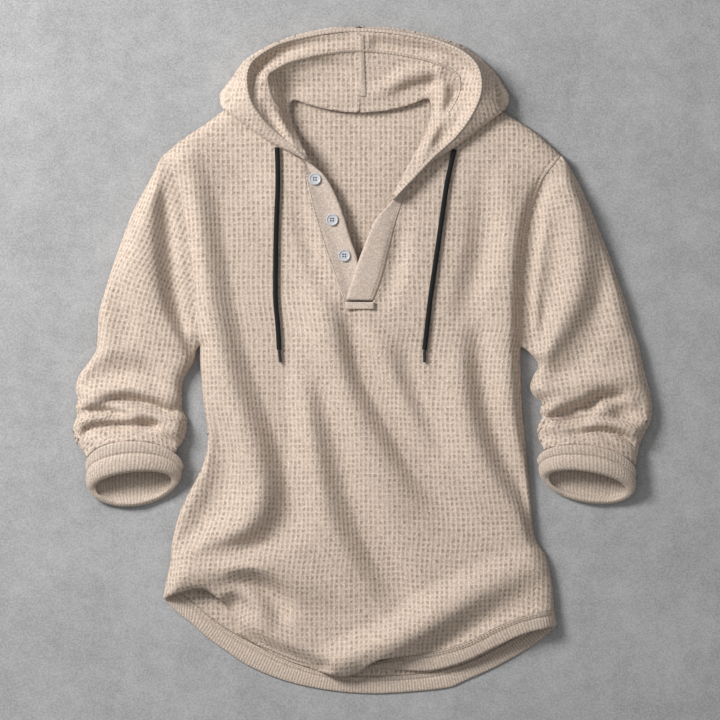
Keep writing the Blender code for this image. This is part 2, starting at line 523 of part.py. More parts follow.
def plan_mesh(ring, cell):
    """Triangles over the ring's inside, with a grid of points in it. The ring's points come first."""
    low = ring.min(axis=0)
    high = ring.max(axis=0)
    counts = np.maximum(1, np.round((high - low) / cell)).astype(int)
    xs = np.linspace(low[0], high[0], counts[0] + 1)
    ys = np.linspace(low[1], high[1], counts[1] + 1)
    grid = np.array([(x, y) for y in ys for x in xs])
    grid = grid[ring_gap(grid, ring) > GRID_CLEAR * cell]
    places = np.vstack((ring, grid))
    sides = [(i, (i + 1) % len(ring)) for i in range(len(ring))]
    made = delaunay_2d_cdt([Vector(p) for p in places], sides, [list(range(len(ring)))], 1, 1e-6)
    order = [sources[0] for sources in made[3]]
    return places, [[order[i] for i in face] for face in made[2]]


def outward(ring, closed):
    """At each ring point, the direction out of the closed sides that meet there."""
    turn = 1 if area_of(ring) > 0 else -1
    sides = np.roll(ring, -1, axis=0) - ring
    normals = turn * np.column_stack((sides[:, 1], -sides[:, 0])) / np.hypot(*sides.T)[:, None]
    normals = normals * np.array(closed)[:, None]
    summed = normals + np.roll(normals, 1, axis=0)
    size = np.hypot(*summed.T)
    return summed / np.maximum(size, 1e-9)[:, None] * (size > 1e-9)[:, None]


def inward(ring, closed, out):
    """How far the inner skin lies inside each ring point; where closed and open sides meet, along the open one."""
    moved = -WALL * out
    for i in range(len(ring)):
        if closed[i] == closed[i - 1]:
            continue
        along_open, along_closed = (i - 1, (i + 1) % len(ring)) if closed[i] else ((i + 1) % len(ring), i - 1)
        along = (ring[along_open] - ring[i]) / np.hypot(*(ring[along_open] - ring[i]))
        other = (ring[along_closed] - ring[i]) / np.hypot(*(ring[along_closed] - ring[i]))
        sine = abs(along[0] * other[1] - along[1] * other[0])
        moved[i] = along * WALL / max(sine, LEAST_SINE)
    return moved


def area_of(ring):
    """Area inside the ring, negative where it runs clockwise."""
    following = np.roll(ring, -1, axis=0)
    return 0.5 * np.sum(ring[:, 0] * following[:, 1] - following[:, 0] * ring[:, 1])


# ---------------------------------------------------------------- solids

def material(name, colour, roughness=0.9, metallic=0.0):
    made = bpy.data.materials.new(name)
    made.use_nodes = True
    shader = made.node_tree.nodes["Principled BSDF"]
    shader.inputs["Base Color"].default_value = colour
    shader.inputs["Roughness"].default_value = roughness
    shader.inputs["Metallic"].default_value = metallic
    return made


def solid(name, points, faces, look):
    """A named object from points in millimetres, with its faces turned outwards."""
    work = bmesh.new()
    corners = [work.verts.new(Vector(p) * MM) for p in points]
    for face in faces:
        work.faces.new([corners[i] for i in face])
    bmesh.ops.recalc_face_normals(work, faces=work.faces)
    mesh = bpy.data.meshes.new(name)
    work.to_mesh(mesh)
    work.free()
    made = bpy.data.objects.new(name, mesh)
    made.data.materials.append(look)
    bpy.context.scene.collection.objects.link(made)
    return made


def wall_depth(plan, faces, heights):
    """Upright thickness that leaves the wall WALL thick where the cloth slopes."""
    slope = np.zeros(len(plan))
    for face in faces:
        a, b, c = [np.append(plan[i], heights[i]) for i in face[:3]]
        normal = np.cross(b - a, c - a)
        lean = min(MOST_LEAN, np.linalg.norm(normal) / max(abs(normal[2]), 1e-9))
        slope[face] = np.maximum(slope[face], lean)
    return WALL * np.maximum(slope, 1)


def panel(name, runs, cell, top, floor, look):
    """One layer of cloth: its upper points at top(), its lower points a wall below, not under the floor."""
    ring = ring_of(runs)
    plan, faces = plan_mesh(ring, cell)
    heights = top(plan)
    depth = wall_depth(plan, faces, heights)
    upper = np.column_stack((plan, heights))
    lower = np.column_stack((plan, np.maximum(heights - depth, floor)))
    count = len(plan)
    around = [(i, (i + 1) % len(ring)) for i in range(len(ring))]
    shell = list(faces) + [[i + count for i in face[::-1]] for face in faces]
    shell += [(a, b, b + count, a + count) for a, b in around]
    return solid(name, np.vstack((upper, lower)), shell, look)


def folded(name, runs, closed_runs, cell, under_cell, top, under, look, clamp=None):
    """Cloth that lies double, joined along its closed runs and open along the others."""
    ring = ring_of(runs)
    if clamp:
        ring[:, 0] = clamp(ring[:, 0])
    closed = labels_of(runs, closed_runs)
    out = outward(ring, closed)
    size = len(ring)
    plan, faces = plan_mesh(ring, cell)
    flat_plan, flat_faces = plan_mesh(ring, under_cell)
    moved = inward(ring, closed, out)
    inset = np.zeros_like(plan)
    inset[:size] = moved
    flat_inset = np.zeros_like(flat_plan)
    flat_inset[:size] = moved
    heights = top(plan)
    lows = under(flat_plan)
    least = under(plan) + WALL + SEAM_GAP
    depth = wall_depth(plan, faces, heights)
    middle = (heights[:size] + lows[:size]) / 2
    open_runs = [run_points(run) for i, run in enumerate(runs) if i not in closed_runs]
    open_gap = np.min([nearest(ring, run)[0] for run in open_runs], axis=0)
    share = SIDE_BULGE * np.clip(open_gap / MOUTH_REACH, 0, 1)
    bulge = (share * (heights[:size] - lows[:size]))[:, None] * out
    layers = [
        np.column_stack((plan, heights)),
        np.column_stack((plan + inset, np.maximum(heights - depth, least))),
        np.column_stack((flat_plan, lows)),
        np.column_stack((flat_plan + flat_inset, lows + WALL)),
        np.column_stack((ring + bulge, middle)),
        np.column_stack((ring + bulge + moved, middle)),
    ]
    starts = np.cumsum([0] + [len(layer) for layer in layers])
    upper, upper_in, lower, lower_in, side, side_in = starts[:6]
    shell = [[i + upper for i in face] for face in faces]
    shell += [[i + upper_in for i in face] for face in faces]
    shell += [[i + lower for i in face] for face in flat_faces]
    shell += [[i + lower_in for i in face] for face in flat_faces]
    for a in range(size):
        b = (a + 1) % size
        if closed[a]:
            shell += [(lower + a, lower + b, side + b, side + a), (side + a, side + b, upper + b, upper + a)]
            shell += [
                (lower_in + a, lower_in + b, side_in + b, side_in + a),
                (side_in + a, side_in + b, upper_in + b, upper_in + a),
            ]
        else:
            shell += [(upper + a, upper + b, upper_in + b, upper_in + a)]
            shell += [(lower + a, lower + b, lower_in + b, lower_in + a)]
        if closed[a] != closed[a - 1]:
            shell += [(upper + a, side + a, lower + a, lower_in + a, side_in + a, upper_in + a)]
    points = np.vstack(layers)
    used = sorted({i for face in shell for i in face})
    place = {old: new for new, old in enumerate(used)}
    return solid(name, points[used], [[place[i] for i in face] for face in shell], look)


def slab(name, upper, lower, look):
    """A closed strip between two grids of points of the same shape."""
    rows, columns = upper.shape[:2]
    count = rows * columns

    def at(i, j):
        return i * columns + j

    shell = []
    for i in range(rows - 1):
        for j in range(columns - 1):
            face = (at(i, j), at(i + 1, j), at(i + 1, j + 1), at(i, j + 1))
            shell += [face, [k + count for k in face[::-1]]]
    rim = [at(i, 0) for i in range(rows)] + [at(rows - 1, j) for j in range(1, columns)]
    rim += [at(i, columns - 1) for i in range(rows - 2, -1, -1)]
    rim += [at(0, j) for j in range(columns - 2, 0, -1)]
    for a, b in zip(rim, rim[1:] + rim[:1]):
        shell += [(a, b, b + count, a + count)]
    return solid(name, np.vstack((upper.reshape(-1, 3), lower.reshape(-1, 3))), shell, look)


def strip_grid(first, second, count, shares):
    """Plan points across a strip: count steps along both edges, and the given shares across."""
    first = spaced(first, count)
    second = spaced(second, count)
    across = second - first
    size = np.hypot(*across.T)[:, None]
    first = first + across / size * SEAM_GAP
    across = second - first
    return np.stack([first + share * across for share in shares], axis=1)


def on_plan(grid, height):
    """The plan grid as 3D points at height(points)."""
    flat = grid.reshape(-1, 2)
    return np.column_stack((flat, height(flat))).reshape(grid.shape[0], grid.shape[1], 3)


# ---------------------------------------------------------------- pieces of the hoodie

FRONT_RUNS = (
    NECK_LEFT, SHOULDER_LEFT, ARMHOLE_LEFT, SIDE_LEFT, FRONT_LIP, FRONT_FOLD_EDGE, FRONT_HEM, SIDE_RIGHT,
    ARMHOLE_RIGHT, SHOULDER_RIGHT, NECK_RIGHT, NECK_TO_STRIP, STRIP_OUTER, *SLIT_END, STAND_OUTER[::-1],
    STAND_TO_NECK,
)
BACK_RUNS = (
    BACK_SHOULDER_LEFT[::-1], SHOULDER_LEFT[1:], ARMHOLE_LEFT, SIDE_LEFT[:-2] + BACK_HEM[:1], BACK_HEM,
    BACK_HEM[-1:] + SIDE_RIGHT[1:], ARMHOLE_RIGHT, SHOULDER_RIGHT[:-1], BACK_SHOULDER_RIGHT[::-1],
    BACK_NECK[::-1],
)


def flat_back(points):
    return np.full(len(points), WALL)


def make_body(look):
    panel("front_panel", FRONT_RUNS, BODY_CELL, body_top, WALL + SEAM_GAP, look)
    panel("back_panel", BACK_RUNS, BACK_CELL, flat_back, 0, look)


def on_table(points):
    return np.zeros(len(points))


def moved_out(run, sign):
    """The armhole run moved one seam gap away from the body."""
    return tuple((x + sign * SEAM_GAP, y) for x, y in run)


def make_sleeve(name, sign, armhole, outer, inner, cuff, folds, look):
    """One sleeve as a flat-lying tube, open at the armhole and at the cuff."""
    armhole = moved_out(armhole, sign)
    end = cuff_end(cuff)
    if sign > 0:
        end = end[::-1]
    outer = (armhole[0],) + outer[1:-1] + (tuple(end[0]),)
    inner = (tuple(end[-1]),) + inner[1:-1] + (armhole[-1],)
    runs = (outer, end, inner, armhole[::-1])

    def top(points):
        return sleeve_top(points, outer, inner, folds, armhole, cuff)

    folded(name, runs, (0, 2), SLEEVE_CELL, 4 * SLEEVE_CELL, top, on_table, look)


def make_sleeves(look):
    make_sleeve(
        "sleeve_left", -1, ARMHOLE_LEFT, SLEEVE_LEFT_OUTER, SLEEVE_LEFT_INNER, "cuff_left",
        SLEEVE_LEFT_FOLDS, look,
    )
    make_sleeve(
        "sleeve_right", 1, ARMHOLE_RIGHT[::-1], SLEEVE_RIGHT_OUTER, SLEEVE_RIGHT_INNER, "cuff_right",
        SLEEVE_RIGHT_FOLDS, look,
    )


def make_hood(look):
    """Two halves that lie double, open at the neck and along the middle seam."""
    middle = (HOOD_LEFT_NECK[-1], HOOD_LEFT_RIM_SIDE[0])
    left = (HOOD_LEFT_RIM_SIDE, HOOD_LEFT_FALL, HOOD_LEFT_NECK, middle)
    right = (HOOD_RIGHT_NECK, HOOD_RIGHT_TIP, HOOD_RIGHT_FALL, HOOD_RIGHT_RIM_SIDE, middle[::-1])
    half_gap = SEAM_GAP / 2
    folded(
        "hood_left", left, (0, 1), HOOD_CELL, 2 * HOOD_CELL, hood_top, hood_under, look,
        clamp=lambda x: np.minimum(x, -half_gap),
    )
    folded(
        "hood_right", right, (1, 2, 3), HOOD_CELL, 2 * HOOD_CELL, hood_top, hood_under, look,
        clamp=lambda x: np.maximum(x, half_gap),
    )


def ribbed(upper, from_row):
    """Every other column of points raised, from the given row across."""
    upper[::2, from_row:, 2] += RIB_RISE
    return upper


def make_hem_bands(look):
    """The rib bands along the hem: smooth beside the seam, then ribbed to the edge."""
    count = steps_in(BAND_BACK_OUTER, RIB_PITCH / 2)
    grid = strip_grid(BACK_HEM, BAND_BACK_OUTER, count, BAND_SHARES)
    upper = ribbed(on_plan(grid, lambda p: np.full(len(p), BAND_WALL)), 2)
    lower = on_plan(grid, on_table)
    slab("hem_band_back", upper[:, (0, 2, 3)], lower[:, (0, 2, 3)], look)
    count = steps_in(BAND_FRONT_OUTER, RIB_PITCH / 2)
    grid = strip_grid(BAND_FRONT_INNER, BAND_FRONT_OUTER, count, BAND_SHARES)
    upper = on_plan(grid[:, :1].repeat(4, axis=1), band_height)
    upper[..., :2] = grid
    upper[..., 2] -= HEM_DROP * np.array(BAND_SHARES)
    upper = ribbed(upper, 2)
    lower = upper.copy()
    lower[..., 2] = upper[..., :1, 2] - HEM_DROP * np.array(BAND_SHARES) - BAND_WALL
    slab("hem_band_front", upper[:, (0, 2, 3)], lower[:, (0, 2, 3)], look)


def band_height(points):
    """The front band: level with the front panel's edge, and down on the back where it is turned under."""
    shown = eased((points[:, 0] - BAND_HIDDEN_TO) / BAND_LIFT_OVER)
    return BAND_HIDDEN + (body_top(points) - BAND_HIDDEN) * shown


def make_placket(look):
    """Button stand below, upper strip above, and the stitched box over their ends."""
    count = steps_in(STAND_OUTER, SEAM_STEP)
    grid = strip_grid(STAND_OUTER, STAND_INNER, count, STRIP_SHARES)
    upper = on_plan(grid, lambda p: body_top(p) - STAND_SINK)
    slab("placket_stand", upper, upper - (0, 0, STRIP_WALL), look)
    count = steps_in(STRIP_OUTER, SEAM_STEP)
    grid = strip_grid(STRIP_OUTER, STRIP_INNER, count, STRIP_SHARES)
    upper = on_plan(grid, lambda p: body_top(p) + STRIP_LIFT)
    slab("placket_strip", upper, upper - (0, 0, STRIP_WALL), look)
    grid = strip_grid(BOX_SIDES[0], BOX_SIDES[1], BOX_STEPS, BOX_SHARES)
    level = body_top(grid.reshape(-1, 2)).max() + STRIP_LIFT + STRIP_WALL
    upper = on_plan(grid, lambda p: np.full(len(p), level))
    slab("placket_box", upper, upper - (0, 0, STRIP_WALL), look)


def surface_frame(place):
    """Height and upward normal of the button stand at a plan point."""
    around = np.array([place, (place[0] + FRAME_STEP, place[1]), (place[0], place[1] + FRAME_STEP)])
    here, east, north = body_top(around) - STAND_SINK
    return here, Vector((here - east, here - north, FRAME_STEP)).normalized()


def make_button(name, place, look):
    """A turned button with a raised rim and four holes."""
    work = bmesh.new()
    corners = [work.verts.new((r * MM, 0, z * MM)) for r, z in BUTTON_PROFILE]
    edges = [work.edges.new(pair) for pair in zip(corners, corners[1:])]
    bmesh.ops.spin(
        work, geom=corners + edges, cent=(0, 0, 0), axis=(0, 0, 1), angle=math.tau, steps=BUTTON_SIDES,
        use_merge=True,
    )
    bmesh.ops.remove_doubles(work, verts=work.verts, dist=1e-6)
    bmesh.ops.recalc_face_normals(work, faces=work.faces)
    mesh = bpy.data.meshes.new(name)
    work.to_mesh(mesh)
    work.free()
    made = bpy.data.objects.new(name, mesh)
    made.data.materials.append(look)
    bpy.context.scene.collection.objects.link(made)
    cut_holes(made)
    height, up = surface_frame(place)
    lift = BUTTON_LIFT + (1 - up.z) * BUTTON_RADIUS
    made.location = Vector((place[0], place[1], height)) * MM + up * lift * MM
    made.rotation_mode = "QUATERNION"
    made.rotation_quaternion = up.to_track_quat("Z", "Y")


def cut_holes(button):
    """Four thread holes cut right through."""
    work = bmesh.new()
    for turn in range(4):
        angle = math.tau * (turn + 0.5) / 4
        bmesh.ops.create_cone(
            work, cap_ends=True, segments=HOLE_SIDES, radius1=BUTTON_HOLE * MM, radius2=BUTTON_HOLE * MM,
            depth=4 * BUTTON_THICK * MM,
            matrix=Matrix.Translation(Vector((math.cos(angle), math.sin(angle), 0)) * BUTTON_HOLE_SPREAD * MM),
        )
    mesh = bpy.data.meshes.new(button.name + "_cutter")
    work.to_mesh(mesh)
    work.free()
    cutter = bpy.data.objects.new(button.name + "_cutter", mesh)
    cutter.hide_render = True
    cutter.display_type = "WIRE"
    cutter.parent = button
    bpy.context.scene.collection.objects.link(cutter)
    holes = button.modifiers.new("thread holes", "BOOLEAN")
    holes.object = cutter
    holes.operation = "DIFFERENCE"


def tube(name, points, radius, look):
    """A round cord or tip as a bevelled curve with filled ends."""
    data = bpy.data.curves.new(name, "CURVE")
    data.dimensions = "3D"
    data.bevel_depth = radius * MM
    data.bevel_resolution = CORD_BEVEL
    data.use_fill_caps = True
    line = data.splines.new("POLY")
    line.points.add(len(points) - 1)
    for target, point in zip(line.points, points):
        target.co = (*(Vector(point) * MM), 1)
    made = bpy.data.objects.new(name, data)
    data.materials.append(look)
    bpy.context.scene.collection.objects.link(made)


def cord_line(route, step, radius):
    """The cord's middle, lying on the front panel."""
    plan = spaced(route, steps_in(route, step))
    around = [plan + np.array(shift) for shift in CORD_ROOM]
    heights = np.max([body_top(points) for points in around], axis=0)
    return np.column_stack((plan, heights + radius + CORD_LIFT))


def make_cord(side, route, tip, cord_look, tip_look):
    points = cord_line(route, CORD_STEP, CORD_RADIUS)
    tube("drawcord_" + side, points, CORD_RADIUS, cord_look)
    end = points[-1]
    ahead = Vector((tip[0] - end[0], tip[1] - end[1], 0)).normalized()
    start = Vector(end) + ahead * SEAM_GAP
    stop = start + ahead * AGLET_LENGTH
    tube("aglet_" + side, (start, (start + stop) / 2, stop), AGLET_RADIUS, tip_look)


def ring_point(ring, across, lift):
    """Plan point of a cuff's edge: across runs -1 to 1 between its ends, lift -1 (below) to 1 (above)."""
    left, right, above, below = ring
    middle = (np.array(left) + np.array(right)) / 2
    half = (np.array(right) - np.array(left)) / 2
    reach = above * lift if lift > 0 else below * -lift
    return middle + across * half + reach * np.array((-half[1], half[0])) / np.hypot(*half)


def cuff_height(lift, rise):
    """Height of the cuff's outer skin: flat underneath, rise at the top."""
    return np.maximum(0, (rise + CUFF_SINK) / 2 * (1 + lift) - CUFF_SINK)


def cuff_end(name):
    """The end of the sleeve, just behind the cuff's back edge, from left to right."""
    start, stop = CUFFS[name]["sleeve"]
    turns = math.tau / CUFF_TURNS * np.arange(start * CUFF_TURNS // 360, stop * CUFF_TURNS // 360 - 1, -1)
    points = np.array([ring_point(CUFFS[name]["back"], math.cos(a), math.sin(a)) for a in turns])
    return points + (0, SEAM_GAP)


def make_cuff(name, look):
    """A ribbed cuff rolled back on itself: a flattened ring with an open mouth."""
    sizes = CUFFS[name]
    points = []
    for turn in range(CUFF_TURNS):
        angle = math.tau * turn / CUFF_TURNS
        across = math.cos(angle)
        lift = math.sin(angle)
        back = ring_point(sizes["back"], across, lift)
        mouth = ring_point(sizes["mouth"], across, lift)
        height = float(cuff_height(lift, sizes["rise"]))
        rib = RIB_RISE * (turn % 2)
        for share, depth, ribs in CUFF_SECTION:
            inward = depth + rib * ribs
            x, y = back + share * (mouth - back)
            points.append((x - across * inward, y, max(0, height - lift * inward)))
    sides = len(CUFF_SECTION)
    faces = []
    for turn in range(CUFF_TURNS):
        here = turn * sides
        after = (turn + 1) % CUFF_TURNS * sides
        for k in range(sides):
            following = (k + 1) % sides
            faces.append((here + k, after + k, after + following, here + following))
    solid(name, points, faces, look)


# ---------------------------------------------------------------- the whole hoodie

def clear_scene():
    for old in list(bpy.data.objects):
        bpy.data.objects.remove(old, do_unlink=True)


def make_hoodie():
    waffle = material("oatmeal waffle knit", OATMEAL)
    rib = material("oatmeal rib knit", OATMEAL)
    twill = material("placket twill", TWILL, 0.85)
    cord = material("black cord", BLACK, 0.8)
    pearl = material("pearl button", PEARL, 0.3)
    metal = material("gunmetal tip", GUNMETAL, 0.35, 1.0)
    make_body(waffle)
    make_sleeves(waffle)
    make_hood(waffle)
    make_hem_bands(rib)
    for name in CUFFS:
        make_cuff(name, rib)
    make_placket(twill)
    for number, place in enumerate(BUTTONS, 1):
        make_button(f"button_{number}", place, pearl)
    make_cord("left", CORD_LEFT, CORD_LEFT_TIP, cord, metal)
    make_cord("right", CORD_RIGHT, CORD_RIGHT_TIP, cord, metal)


clear_scene()
make_hoodie()
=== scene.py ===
"""A waffle-knit henley hoodie laid flat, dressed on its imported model, as a Blender 4.5 add-on.

The sidebar's panel lists one operator for each group of like pieces, over the property groups that hold the sizes
and colours. Tables are in millimetres, with the origin on the surface under the middle of the body, +Y towards the
hood and +Z up. Left and right are as the camera sees them.
"""

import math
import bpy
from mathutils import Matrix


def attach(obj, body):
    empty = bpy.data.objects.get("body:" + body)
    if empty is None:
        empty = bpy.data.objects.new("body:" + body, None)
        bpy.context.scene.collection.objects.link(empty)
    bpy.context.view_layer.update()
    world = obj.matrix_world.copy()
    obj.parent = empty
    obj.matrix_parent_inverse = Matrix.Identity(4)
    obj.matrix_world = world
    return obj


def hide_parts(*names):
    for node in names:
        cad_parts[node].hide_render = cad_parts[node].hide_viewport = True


bl_info = {
    "name": "Waffle hoodie laid flat",
    "version": (1, 0, 0),
    "blender": (4, 5, 0),
    "location": "View3D > Sidebar > Hoodie",
    "description": "Knit, trim and stitching of a waffle hoodie on its packed model",
    "category": "Object",
}

import bmesh
import bpy
import numpy as np
from mathutils import Matrix, Vector

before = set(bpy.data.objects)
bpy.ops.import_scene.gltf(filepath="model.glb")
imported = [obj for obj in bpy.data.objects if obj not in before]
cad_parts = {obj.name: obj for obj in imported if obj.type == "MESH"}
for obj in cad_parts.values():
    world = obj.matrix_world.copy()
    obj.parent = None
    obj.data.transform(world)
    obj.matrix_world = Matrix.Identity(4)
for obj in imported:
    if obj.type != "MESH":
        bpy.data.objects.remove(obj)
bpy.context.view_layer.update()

MM = 0.001

# Cloth and seams, in millimetres
WALL = 2.4
SEAM_GAP = 0.4
SEAM_STEP = 5.0

# Heights above the table
EDGE_TOP = 2 * WALL + SEAM_GAP
BODY_TOP = 20.0
BODY_ROUND = 24.0
SLEEVE_TOP = 24.0
SLEEVE_ROUND = 20.0
SLEEVE_EDGE = 8.0
HOOD_EDGE = 9.0
LEAST_BODY = 9.6
NOSE_DROP = 7.0
LEAST_SLEEVE = 8.5

# Trim
BAND_WALL = 2.2
STRIP_WALL = 1.6
HEM_DROP = 0.8
BAND_HIDDEN = 6.4
BAND_HIDDEN_TO = 52.0
BAND_LIFT_OVER = 60.0
STAND_SINK = 2.8
STRIP_LIFT = 0.6
CASING_WIDTH = 29.0
CASING_STEP = 1.6
CUFF_TURNS = 72
CUFF_SINK = 3.0
BUTTON_RADIUS = 8.5
BUTTON_THICK = 3.0
BUTTON_LIFT = 0.7
CORD_RADIUS = 3.1
CORD_STEP = 15.0
CORD_LIFT = 0.5
AGLET_RADIUS = 2.3
AGLET_LENGTH = 17.0

# Parts that a curve gets between two rows of its table: for heights, and for edges that something is laid along
CURVE = 4
FINE_CURVE = 8
# Points closer than this, in metres, are one
MERGE = 1e-6

# How the folds and the rounded edges are shaped
FOLD_SPREAD = 1.6
FOLD_FADE = 0.6
LEAST_STEEPER = 2.0
SIDE_BULGE = 0.22
MOUTH_REACH = 40.0
ARMHOLE_BLEND = 30.0
CUFF_BLEND = 26.0
CUFF_TUCK = 2.0

# How the hood lies over the shoulders, and how its height goes from the outside over the rim to the neck
HOOD_OVER_FRONT = 36.0
HOOD_FRONT_EASE = 20.0
HOOD_OVER_BACK = 30.0
HOOD_BACK_EASE = 14.0
HOOD_BODY_REACH = 6.0
HOOD_CLEAR = 2.5
HOOD_BACK_CLEAR = 0.6
HOOD_AIR = 1.6
CREST_LEAST = 5.0
OUTSIDE_POWER = 0.8
WITHIN_POWER = 1.15
NECK_LIFT = 7.0
HOOD_NECK_FADE = 12.0
HOOD_RIM_FADE = 6.0
CASING_START = 6.0
CASING_EASE = 4.0
NO_GAP = 0.01

# Steps along the placket's box, and shares of its width, at which its height is looked up
BOX_STEPS = 3
BOX_SHARES = (0.0, 0.25, 0.5, 0.75, 1.0)

# Plan steps to a button's side, for the slope under it, and around a cord's middle where the cloth is felt
FRAME_STEP = 4.0
CORD_ROOM = ((0, 0), (6, 0), (-6, 0), (0, 6), (0, -6))

# Outlines: runs of (x, y) points. Each run is one smooth curve; corners are where runs meet.
SHOULDER_LEFT = ((-154, 365), (-188, 351), (-217, 330), (-249, 309), (-276, 286))
ARMHOLE_LEFT = (
    (-276, 286), (-263, 266), (-252, 238), (-244, 196), (-237, 150), (-231, 108), (-227, 59), (-224, 20),
)
SIDE_LEFT = (
    (-224, 20), (-224, -3), (-220, -56), (-213, -101), (-216, -133), (-227, -162), (-241, -188), (-255, -220),
    (-263, -253), (-265, -280), (-272, -311), (-276, -335),
)
SHOULDER_RIGHT = ((281, 286), (265, 302), (245, 319), (217, 337), (196, 350), (165, 365))
ARMHOLE_RIGHT = (
    (225, 20), (225, 71), (227, 112), (230, 150), (235, 189), (244, 224), (255, 252), (266, 269),
    (281, 286),
)
SIDE_RIGHT = (
    (272, -349), (270, -322), (266, -297), (259, -272), (244, -245), (239, -196), (234, -140), (228, -77),
    (225, -28), (225, 20),
)
FRONT_LIP = ((-276, -335), (-255, -326), (-224, -319), (-204, -329), (-190, -340), (-179, -357), (-171, -384))
FRONT_FOLD_EDGE = ((-171, -384), (-119, -413), (-74, -430), (-39, -441), (-17, -442), (-1, -435))
FRONT_HEM = (
    (-1, -435), (21, -420), (52, -414), (88, -410), (147, -395), (193, -372), (231, -357), (272, -349),
)
NECK_RIGHT = ((165, 365), (148, 337), (123, 308), (91, 274), (57, 238))
NECK_LEFT = ((-80, 279), (-106, 297), (-134, 322), (-154, 365))

BACK_NECK = ((-101, 384), (-70, 368), (-35, 360), (0, 357), (35, 360), (67, 368), (101, 384))
BACK_SHOULDER_LEFT = ((-188, 351), (-154, 365), (-101, 384))
BACK_SHOULDER_RIGHT = ((101, 384), (165, 365), (196, 350))
BACK_HEM = (
    (-266, -312), (-252, -325), (-234, -339), (-206, -363), (-174, -384), (-137, -403), (-101, -420), (-63, -433),
    (-21, -441), (28, -442), (73, -440), (112, -434), (147, -424), (185, -406), (224, -382), (269, -344),
)
BAND_BACK_OUTER = (
    (-273, -336), (-255, -354), (-237, -368), (-213, -389), (-188, -407), (-160, -426), (-130, -440), (-98, -451),
    (-63, -459), (-21, -465), (27, -467), (88, -463), (126, -458), (147, -449), (193, -428), (238, -402),
    (274, -374),
)
BAND_FRONT_INNER = (
    (-137, -384), (-84, -406), (-35, -417), (-1, -421), (25, -421), (52, -414), (88, -410), (147, -395),
    (193, -372), (231, -357), (272, -349),
)
BAND_FRONT_OUTER = (
    (-143, -399), (-88, -421), (-38, -433), (-1, -437), (28, -431), (59, -434), (101, -434), (147, -421),
    (193, -399), (231, -382), (276, -371),
)

SLEEVE_LEFT_OUTER = (
    (-277, 284), (-295, 246), (-314, 211), (-328, 176), (-342, 137), (-354, 99), (-363, 67), (-365, 38),
    (-367, 14), (-377, -3), (-391, -22), (-396, -41), (-392, -55), (-396, -66), (-393, -76), (-399, -92),
    (-399, -104), (-393, -119), (-385, -140),
)
SLEEVE_LEFT_INNER = (
    (-249, -137), (-256, -123), (-248, -112), (-244, -94), (-245, -81), (-251, -70), (-251, -52), (-251, -34),
    (-244, -17), (-234, -3), (-230, 14), (-224, 20),
)
SLEEVE_RIGHT_OUTER = (
    (281, 286), (291, 272), (305, 245), (318, 217), (335, 176), (347, 146), (358, 113), (370, 80),
    (378, 49), (388, 21), (393, -3), (399, -27), (405, -50), (407, -67), (405, -85), (396, -104),
    (389, -122), (388, -133), (382, -147),
)
SLEEVE_RIGHT_INNER = (
    (258, -120), (252, -113), (249, -99), (252, -90), (258, -81), (253, -71), (258, -60), (245, -49),
    (240, -38), (244, -24), (252, -8), (242, 7), (225, 20),
)

HOOD_LEFT_RIM_SIDE = (
    (0, 466), (-42, 463), (-81, 455), (-106, 447), (-130, 437), (-147, 427), (-162, 416), (-176, 396),
    (-188, 381), (-195, 370), (-195, 361), (-188, 350),
)
HOOD_LEFT_FALL = ((-188, 350), (-167, 336), (-144, 319), (-122, 305), (-95, 290), (-69, 274))
HOOD_LEFT_NECK = ((-69, 274), (-81, 297), (-92, 322), (-99, 347), (-95, 365), (-70, 358), (-35, 350), (0, 347))
HOOD_RIGHT_NECK = ((0, 347), (35, 350), (70, 358), (94, 367), (101, 353), (95, 325), (81, 294), (62, 260), (46, 228))
HOOD_RIGHT_TIP = ((46, 228), (46, 220))
HOOD_RIGHT_FALL = ((46, 220), (90, 269), (116, 288), (139, 304), (168, 326), (199, 349))
HOOD_RIGHT_RIM_SIDE = (
    (199, 349), (206, 358), (206, 371), (197, 386), (188, 400), (171, 417), (154, 430), (139, 440),
    (112, 449), (90, 455), (45, 463), (0, 466),
)

# Each rim row: x, y, height of the crest above the table
RIM_LEFT = (
    (-76, 280, 30), (-90, 291, 32), (-109, 308, 36), (-136, 333, 42), (-153, 361, 47), (-158, 391, 48),
    (-153, 413, 45), (-137, 428, 39), (-112, 442, 34), (-81, 451, 31), (-42, 459, 29), (0, 462, 28),
)
RIM_RIGHT = (
    (0, 462, 28), (45, 459, 29), (90, 451, 31), (119, 442, 34), (144, 430, 39), (162, 413, 44),
    (169, 392, 47), (167, 367, 47), (153, 337, 43), (133, 311, 38), (106, 286, 34), (73, 252, 30),
    (50, 228, 28),
)

